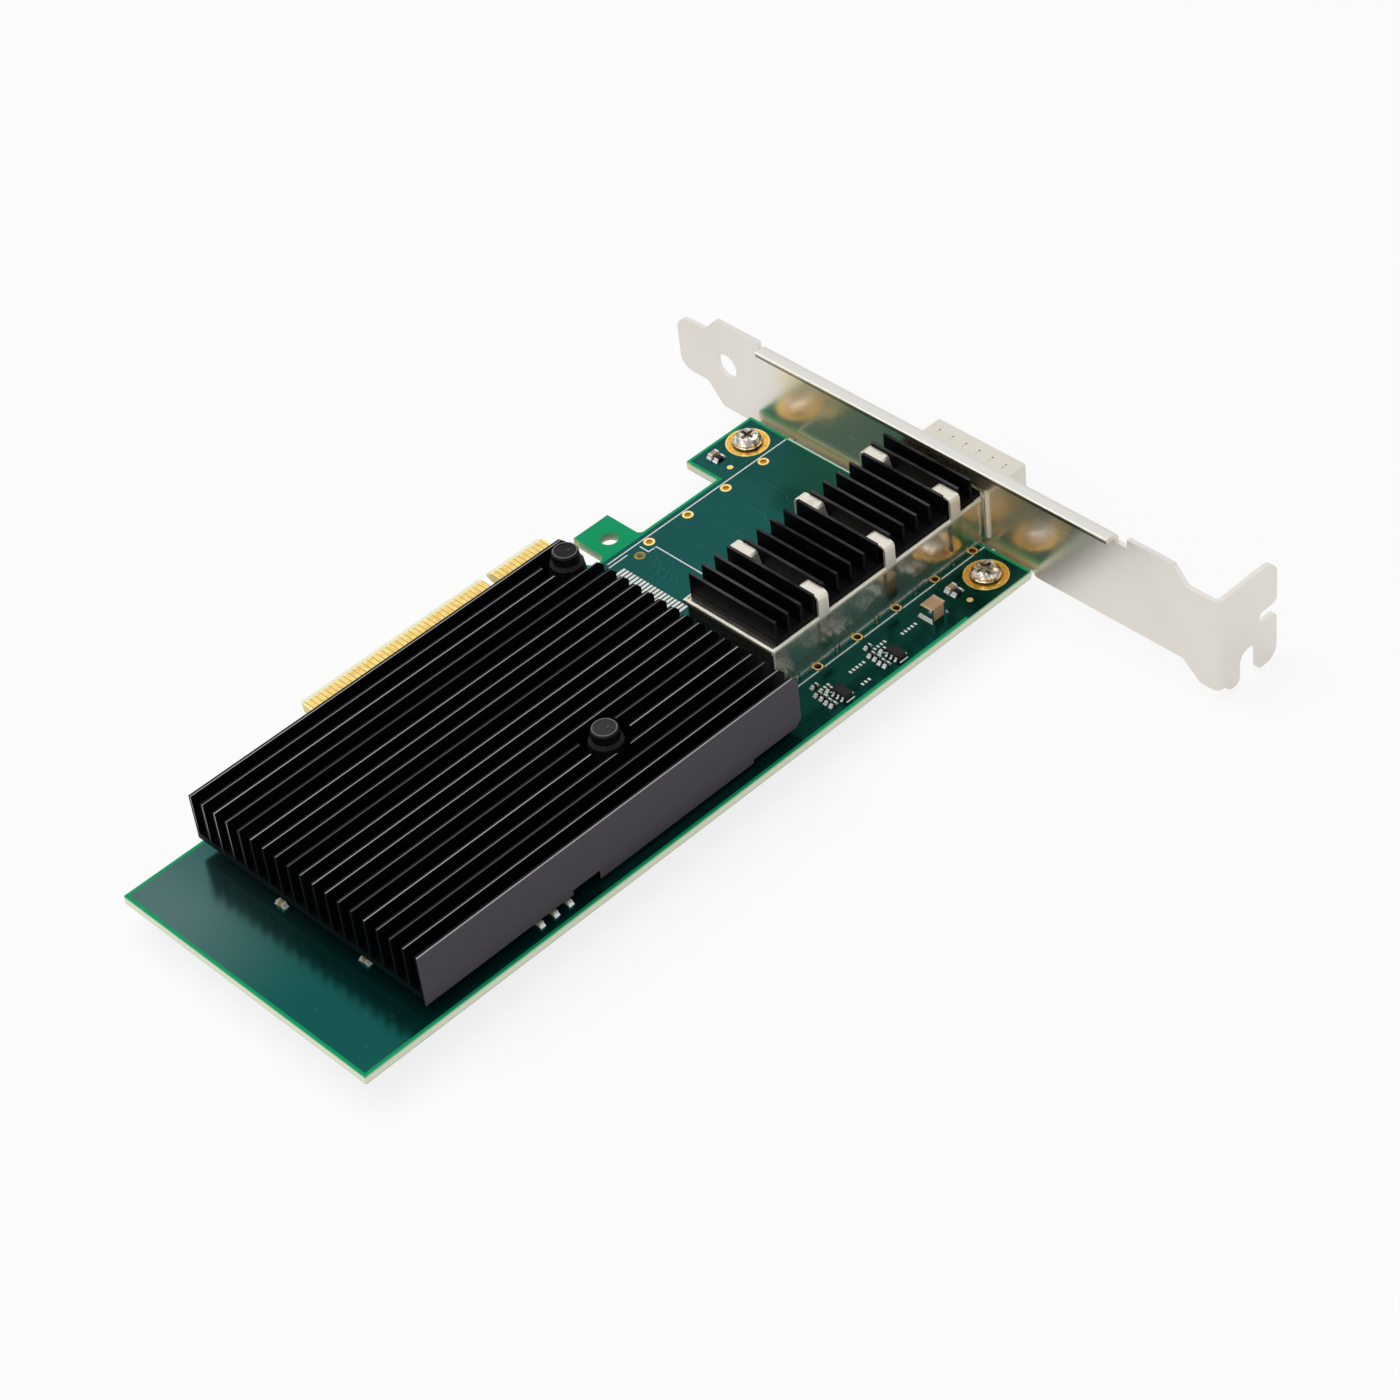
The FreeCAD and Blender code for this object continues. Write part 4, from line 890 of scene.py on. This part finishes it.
class CARD_OT_vias(bpy.types.Operator):
    """Plate the holes and set the small vias into the screw pads"""
    bl_idname = "card.vias"
    bl_label = "Plated holes"

    def execute(self, context):
        colours, sizes = context.scene.card_colours, context.scene.card_sizes
        mesh = bmesh.new()
        ring, count = 3.15 * MM, 8
        for place in centres("screw_pads"):
            for i in range(count):
                turn = (i + 0.5) * 2 * pi / count
                centre = Vector((place.x + ring * cos(turn), place.y + ring * sin(turn), 0.05 * MM))
                disc(mesh, centre, sizes.via_radius, 0.012 * MM, 12, sizes.via_radius * 0.5)
        finished(mesh, "pad_vias", gold_finish(colours, "gold_vias", 0.35, colours.gold_deep))
        mesh = bmesh.new()
        outer, inner = 0.59 * MM, 0.48 * MM
        for place in centres("ground_rings"):
            foot = Vector((place.x, place.y, BOARD_LOW.z))
            disc(mesh, foot, outer, BOARD_HIGH.z - BOARD_LOW.z, 12, inner)
            if place.y > CAGE_HIGH.y:  # the far row is plugged
                disc(mesh, Vector((place.x, place.y, -0.22 * MM)), inner + 0.01 * MM, 0.1 * MM, 12)
        # The plating and plugs inside the holes are darker gold, with painted shade.
        barrel = gold_finish(colours, "gold_barrels", 0.35, colours.gold_inside_shaded)
        finished(mesh, "plated_barrels", barrel)
        return {"FINISHED"}


class CARD_OT_pads(bpy.types.Operator):
    """Tin the empty pads beside the small parts and ring the test point"""
    bl_idname = "card.pads"
    bl_label = "Empty pads"

    def execute(self, context):
        colours, sizes = context.scene.card_colours, context.scene.card_sizes
        mesh = bmesh.new()
        pitch, half = 0.75, 0.3  # mm, between two pads, and half a pad's length
        for start, y, count in EMPTY_PADS:
            for i in range(count):
                x = start + i * pitch
                ribbon(mesh, (at(x, y - half), at(x, y + half)), sizes.pad_width, sizes.ink_height * 2)
        finished(mesh, "empty_pads", tin_finish(colours, "empty_pad_tin", 0.3))
        mesh = bmesh.new()
        disc(mesh, at(*TEST_POINT), 0.98 * MM, sizes.ink_height, 24, 0.55 * MM)
        masked = gold_finish(colours, "masked_ring", 0.35, colours.mask_olive)
        finished(mesh, "test_point_ring", masked)
        return {"FINISHED"}


class CARD_OT_solder(bpy.types.Operator):
    """Solder the chips' ends to their pads"""
    bl_idname = "card.solder"
    bl_label = "Solder joints"

    def execute(self, context):
        colours, sizes = context.scene.card_colours, context.scene.card_sizes
        for family in ("bulk_capacitor", "ground_capacitors", "ground_resistors", "filter_capacitors",
                       "edge_capacitors", "solder_side_capacitors"):
            mesh = bmesh.new()
            bodies = [(low + high) / 2 for low, high in solids(family)]
            for low, high in solids(family + "_ends"):
                middle, size = (low + high) / 2, high - low
                body = min(bodies, key=lambda point: (point - middle).length)
                outward = middle - body
                outward.z = 0
                outward.normalize()
                along_x = abs(outward.x) > 0.5
                half, width = (size.x / 2, size.y) if along_x else (size.y / 2, size.x)
                above = middle.z > IN_BOARD
                foot = Vector((middle.x, middle.y, low.z if above else high.z)) + outward * half
                climb = min(size.z * 0.55, 0.7 * MM)
                fillet(mesh, foot, outward, width * 1.02, climb, sizes.solder_reach, 1 if above else -1)
            finished(mesh, family + "_solder", tin_finish(colours, family + "_solder", 0.16))
        return {"FINISHED"}


class CARD_OT_threads(bpy.types.Operator):
    """Cut a thread on the bracket screws, below the bracket's lugs"""
    bl_idname = "card.threads"
    bl_label = "Screw threads"

    def execute(self, context):
        sizes = context.scene.card_sizes
        mesh = bmesh.new()
        shank = 1.46 * MM
        turns, steps_a_turn = 1.6, 24
        half = sizes.thread_pitch * 0.42
        for low, high in solids("bracket_screws"):
            middle = (low + high) / 2
            start = low.z + sizes.thread_pitch * 0.6
            root = middle.x + shank
            corners = ((root, start - half), (root, start + half), (root + sizes.thread_depth, start))
            verts = [mesh.verts.new((x, middle.y, z)) for x, z in corners]
            profile = mesh.faces.new(verts)
            steps = int(steps_a_turn * turns)
            bmesh.ops.spin(mesh, geom=[profile] + list(profile.edges) + verts, cent=middle, axis=(0, 0, 1),
                           angle=2 * pi * turns, steps=steps, dvec=(0, 0, sizes.thread_pitch * turns / steps))
        finished(mesh, "screw_threads", screw_finish(context.scene.card_colours))
        return {"FINISHED"}


class CARD_OT_pins(bpy.types.Operator):
    """Finish the push pins and raise the rim and the gate mark of each cap"""
    bl_idname = "card.pins"
    bl_label = "Push pins"

    def execute(self, context):
        colours = context.scene.card_colours
        nylon = pin_finish(colours)
        dress(nylon, "push_pins")
        dress(sheet_finish("spring_wire", colours.clip_shade, colours.screw_shade, 0.3, (3.0, 3.0, 3.0)),
              "push_pin_springs")
        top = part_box("push_pins")[1].z
        mesh = bmesh.new()
        rim, bead_radius = 1.92 * MM, 0.13 * MM
        for low, high in solids("push_pins"):
            middle = (low + high) / 2
            centre = Vector((middle.x, middle.y, top))
            place = Matrix.Translation(centre + Vector((rim, 0, 0))) @ Matrix.Rotation(pi / 2, 4, "X")
            bead = bmesh.ops.create_circle(mesh, radius=bead_radius, segments=8, matrix=place)["verts"]
            bmesh.ops.spin(mesh, geom=bead + touching(bead, "link_edges"), cent=centre, axis=(0, 0, 1),
                           angle=2 * pi, steps=40, use_merge=True)
            gate = centre + Vector((0.4, -0.3, -0.01)) * MM
            disc(mesh, gate, 0.28 * MM, 0.06 * MM, 14)
        bmesh.ops.remove_doubles(mesh, verts=mesh.verts, dist=1e-7)
        finished(mesh, "push_pin_rims", nylon)
        return {"FINISHED"}


class CARD_OT_bracket(bpy.types.Operator):
    """Finish the bracket and its screws"""
    bl_idname = "card.bracket"
    bl_label = "Bracket and screws"

    def execute(self, context):
        colours = context.scene.card_colours
        dress(bracket_finish(colours), "bracket")
        dress(screw_finish(colours), "bracket_screws")
        return {"FINISHED"}


class CARD_OT_port(bpy.types.Operator):
    """Finish the port cage, its collar, its connector and the clip"""
    bl_idname = "card.port"
    bl_label = "Port"

    def execute(self, context):
        colours = context.scene.card_colours
        plated = sheet_finish("plated_cage", colours.cage, colours.cage_shade, 0.16, (0.08, 1.5, 1.5),
                              blur=0.06, metallic=0.96, dents=0.2)
        dress(plated, "cage_shell", "cage_floor")
        dress(clip_finish(colours), "heatsink_clip", "port_gasket")
        plastic = moulded_finish("connector_plastic", colours.nylon, colours.resin_pale, 0.4, 3.0)
        dress(plastic, "connector_housing")
        dress(gold_finish(colours, "gold_springs", 0.2), "connector_contacts")
        return {"FINISHED"}


class CARD_OT_edges(bpy.types.Operator):
    """Round the sheared edges of the clip, the cage and the bracket's flange, and paint a highlight on them
    """
    bl_idname = "card.edges"
    bl_label = "Sheared edges"

    def execute(self, context):
        colours, sizes = context.scene.card_colours, context.scene.card_sizes
        # Every rod and block below takes this painted highlight, the collar's flange and the bent tab too.
        finish = edge_highlight_finish(colours)
        thick, thin = sizes.edge_radius, sizes.edge_radius * 0.55
        wall = BRACKET_INNER * MM
        front = wall - 1.1 * MM  # where the edges stop short of the bracket

        low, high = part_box("heatsink_clip")
        half = 0.215 * MM        # half the sheet's thickness
        rail = CAGE_HIGH.z - 0.05 * MM
        near, far, rear = low.y + half, high.y - half, low.x + half
        corner, far_corner = Vector((rear, near, rail)), Vector((rear, far, rail))
        mesh = bmesh.new()
        rod(mesh, corner, Vector((front, near, rail)), thick)
        rod(mesh, corner, far_corner, thick)
        rod(mesh, far_corner, Vector((front, far, rail)), thin)
        for x, y in ((low.x, near), (rear, low.y)):
            rod(mesh, Vector((x, y, rail - 0.6 * MM)), Vector((x, y, rail)), thin)
        finished(mesh, "clip_edges", finish)

        low, high = CAGE_LOW, CAGE_HIGH
        corner = Vector((low.x, low.y, high.z))
        mesh = bmesh.new()
        rod(mesh, corner, Vector((front, low.y, high.z)), thin)
        rod(mesh, corner, Vector((low.x, high.y, high.z)), thin)
        rod(mesh, Vector((low.x, low.y, 4.5 * MM)), corner, thin)
        # The collar's side flange, and the tab bent over the cage's near corner.
        block(mesh, Vector((wall - 0.3 * MM, low.y - 1.1 * MM, 1.2 * MM)),
              Vector((wall - 0.02 * MM, low.y - 0.5 * MM, 10.8 * MM)))
        block(mesh, Vector((wall - 2.2 * MM, low.y + 0.1 * MM, high.z + 0.01 * MM)),
              Vector((wall - 0.7 * MM, low.y + 1.4 * MM, high.z + 0.14 * MM)))
        finished(mesh, "cage_edges", finish)

        lip, top = wall - 2.04 * MM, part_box("bracket")[1].z
        ends = [Vector((lip, at(0, y).y, top)) for y in FLANGE]
        mesh = bmesh.new()
        rod(mesh, *ends, thick * 0.8)
        finished(mesh, "flange_edge", finish)
        return {"FINISHED"}


class CARD_OT_heatsinks(bpy.types.Operator):
    """Finish both heat sinks"""
    bl_idname = "card.heatsinks"
    bl_label = "Heat sinks"

    def execute(self, context):
        colours = context.scene.card_colours
        low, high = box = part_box("main_heatsink")
        row = (low.y / MM - 0.02, (high.y - low.y) / MM * FIN_SHARE)
        dress(anodised_finish(colours, "anodised_main", box, 0.9, row), "main_heatsink")
        dress(anodised_finish(colours, "anodised_port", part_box("cage_heatsink"), 0.12), "cage_heatsink")
        return {"FINISHED"}


class CARD_OT_parts(bpy.types.Operator):
    """Finish the controller and the small parts"""
    bl_idname = "card.parts"
    bl_label = "Controller and small parts"

    def execute(self, context):
        colours = context.scene.card_colours
        epoxy = moulded_finish("epoxy_packages", colours.resin, colours.nylon_pale, 0.45, 4.0)
        dress(epoxy, "voltage_regulators", "flash_memory", "ground_resistors", "filter_capacitors")
        inductor = moulded_finish("moulded_inductors", colours.resin_pale, colours.resin, 0.6, 2.0)
        dress(inductor, "power_inductors")
        laminate = moulded_finish("package_laminate", colours.mask_deep, colours.mask_thin, 0.4, 2.0)
        dress(laminate, "controller_substrate")
        lid = sheet_finish("nickel_lid", colours.nickel, colours.nickel_shade, 0.25, (0.4, 0.4, 0.4))
        dress(lid, "controller_lid", "oscillator")
        dress(moulded_finish("soft_pad", colours.clip_shade, colours.tin_shade, 0.8, 1.2), "thermal_pad")
        ceramic = ceramic_finish("tan_ceramic", colours.ceramic, colours.ceramic_shade)
        dress(ceramic, "bulk_capacitor", "ground_capacitors", "edge_capacitors", "solder_side_capacitors")
        dress(cap_end_finish(colours), "bulk_capacitor_ends")
        dress(tin_finish(colours), "regulator_leads", "flash_leads", "ground_capacitors_ends",
              "ground_resistors_ends", "filter_capacitors_ends", "edge_capacitors_ends",
              "solder_side_capacitors_ends")
        return {"FINISHED"}


class CARD_OT_studio(bpy.types.Operator):
    """Set the floor, the softboxes, the white surround and the camera"""
    bl_idname = "card.studio"
    bl_label = "Studio"

    def execute(self, context):
        scene = context.scene
        studio = scene.card_studio
        mesh = bmesh.new()
        bmesh.ops.create_grid(mesh, x_segments=1, y_segments=1, size=2.0,
                              matrix=Matrix.Translation((0, 0, FULL_BOX[0][2])))
        data = bpy.data.meshes.new("floor")
        mesh.to_mesh(data)
        mesh.free()
        floor = bpy.data.objects.new("floor", data)
        scene.collection.objects.link(floor)
        paper = Finish("white_paper", roughness=0.9)
        paper.set("Base Color", paper.mix(paper.noise(0.01, 2.0), (0.95, 0.95, 0.95), (0.94, 0.94, 0.94)))
        white = paper.node("ShaderNodeEmission", sockets={"Color": (1, 1, 1, 1), "Strength": 1.0})
        low, high = BOARD_LOW / MM, BOARD_HIGH / MM
        margin = 6.0  # mm, over which the floor's glow in reflections fades beneath the card
        beneath = (paper.within(paper.x, low.x, high.x, margin)
                   * paper.within(paper.y, low.y, high.y, margin))
        camera_ray, shiny, through = paper.rays()
        glow = paper.most(camera_ray * 0.82, paper.most(shiny, through) * (1 - beneath) * 0.6)
        blend = paper.node("ShaderNodeMixShader",
                           sockets={0: glow, 1: Value(paper, paper.shader.outputs[0]), 2: white})
        paper.tree.links.new(blend.socket, paper.output.inputs[0])
        data.materials.append(paper.material)

        centre = Vector((-0.01, -0.035, 0))
        for name, place, size, power in (("key_softbox", (-0.15, 0.25, 0.95), 0.9, studio.key),
                                         ("fill_softbox", (-0.8, -0.3, 0.45), 0.6, studio.fill)):
            lamp = bpy.data.lights.new(name, "AREA")
            lamp.size = size
            lamp.energy = power
            holder = bpy.data.objects.new(name, lamp)
            holder.matrix_world = (Matrix.Translation(place)
                                   @ (Vector(place) - centre).to_track_quat("Z", "Y").to_matrix().to_4x4())
            scene.collection.objects.link(holder)

        world = bpy.data.worlds.new("white_surround")
        world.use_nodes = True
        sky = Nodes(world.node_tree)
        strength = sky.node("ShaderNodeMapRange", sockets={"Value": sky.most(*sky.rays()),
                                                           "To Min": studio.surround, "To Max": 1.0})
        background = sky.tree.nodes["Background"]
        background.inputs["Color"].default_value = (1, 1, 1, 1)
        sky.tree.links.new(strength.socket, background.inputs["Strength"])
        scene.world = world
        scene.view_settings.view_transform = "Standard"

        lens = bpy.data.cameras.new("camera")
        lens.sensor_width = 36
        lens.lens = studio.lens
        lens.clip_start = 0.01
        camera = bpy.data.objects.new("camera", lens)
        camera.matrix_world = (Matrix.Translation(studio.camera)
                               @ Matrix.Rotation(studio.heading - pi / 2, 4, "Z")
                               @ Matrix.Rotation(pi / 2 - studio.dip, 4, "X")
                               @ Matrix.Rotation(studio.roll, 4, "Z"))
        scene.collection.objects.link(camera)
        scene.camera = camera
        return {"FINISHED"}


STEPS = (CARD_OT_board, CARD_OT_printing, CARD_OT_traces, CARD_OT_vias, CARD_OT_pads, CARD_OT_solder,
         CARD_OT_threads, CARD_OT_pins, CARD_OT_bracket, CARD_OT_port, CARD_OT_edges, CARD_OT_heatsinks,
         CARD_OT_parts, CARD_OT_studio)


class CARD_PT_steps(bpy.types.Panel):
    """Lists the steps that dress the card, with their settings"""
    bl_idname = "CARD_PT_steps"
    bl_label = "Network interface card"
    bl_space_type = "VIEW_3D"
    bl_region_type = "UI"
    bl_category = "Card"

    def draw(self, context):
        for step in STEPS:
            self.layout.operator(step.bl_idname)
        for group in (context.scene.card_sizes, context.scene.card_colours, context.scene.card_studio):
            column = self.layout.column()
            for name in group.__annotations__:
                column.prop(group, name)


CLASSES = (CardColours, CardSizes, CardStudio) + STEPS + (CARD_PT_steps,)


def register():
    for kind in CLASSES:
        bpy.utils.register_class(kind)
    bpy.types.Scene.card_colours = bpy.props.PointerProperty(type=CardColours)
    bpy.types.Scene.card_sizes = bpy.props.PointerProperty(type=CardSizes)
    bpy.types.Scene.card_studio = bpy.props.PointerProperty(type=CardStudio)


def unregister():
    del bpy.types.Scene.card_studio
    del bpy.types.Scene.card_sizes
    del bpy.types.Scene.card_colours
    for kind in reversed(CLASSES):
        bpy.utils.unregister_class(kind)


def main():
    register()
    bpy.ops.card.studio()
    bpy.ops.card.board()
    bpy.ops.card.printing()
    bpy.ops.card.traces()
    bpy.ops.card.vias()
    bpy.ops.card.pads()
    bpy.ops.card.solder()
    bpy.ops.card.threads()
    bpy.ops.card.pins()
    bpy.ops.card.bracket()
    bpy.ops.card.port()
    bpy.ops.card.edges()
    bpy.ops.card.heatsinks()
    bpy.ops.card.parts()


if __name__ == "__main__":
    main()
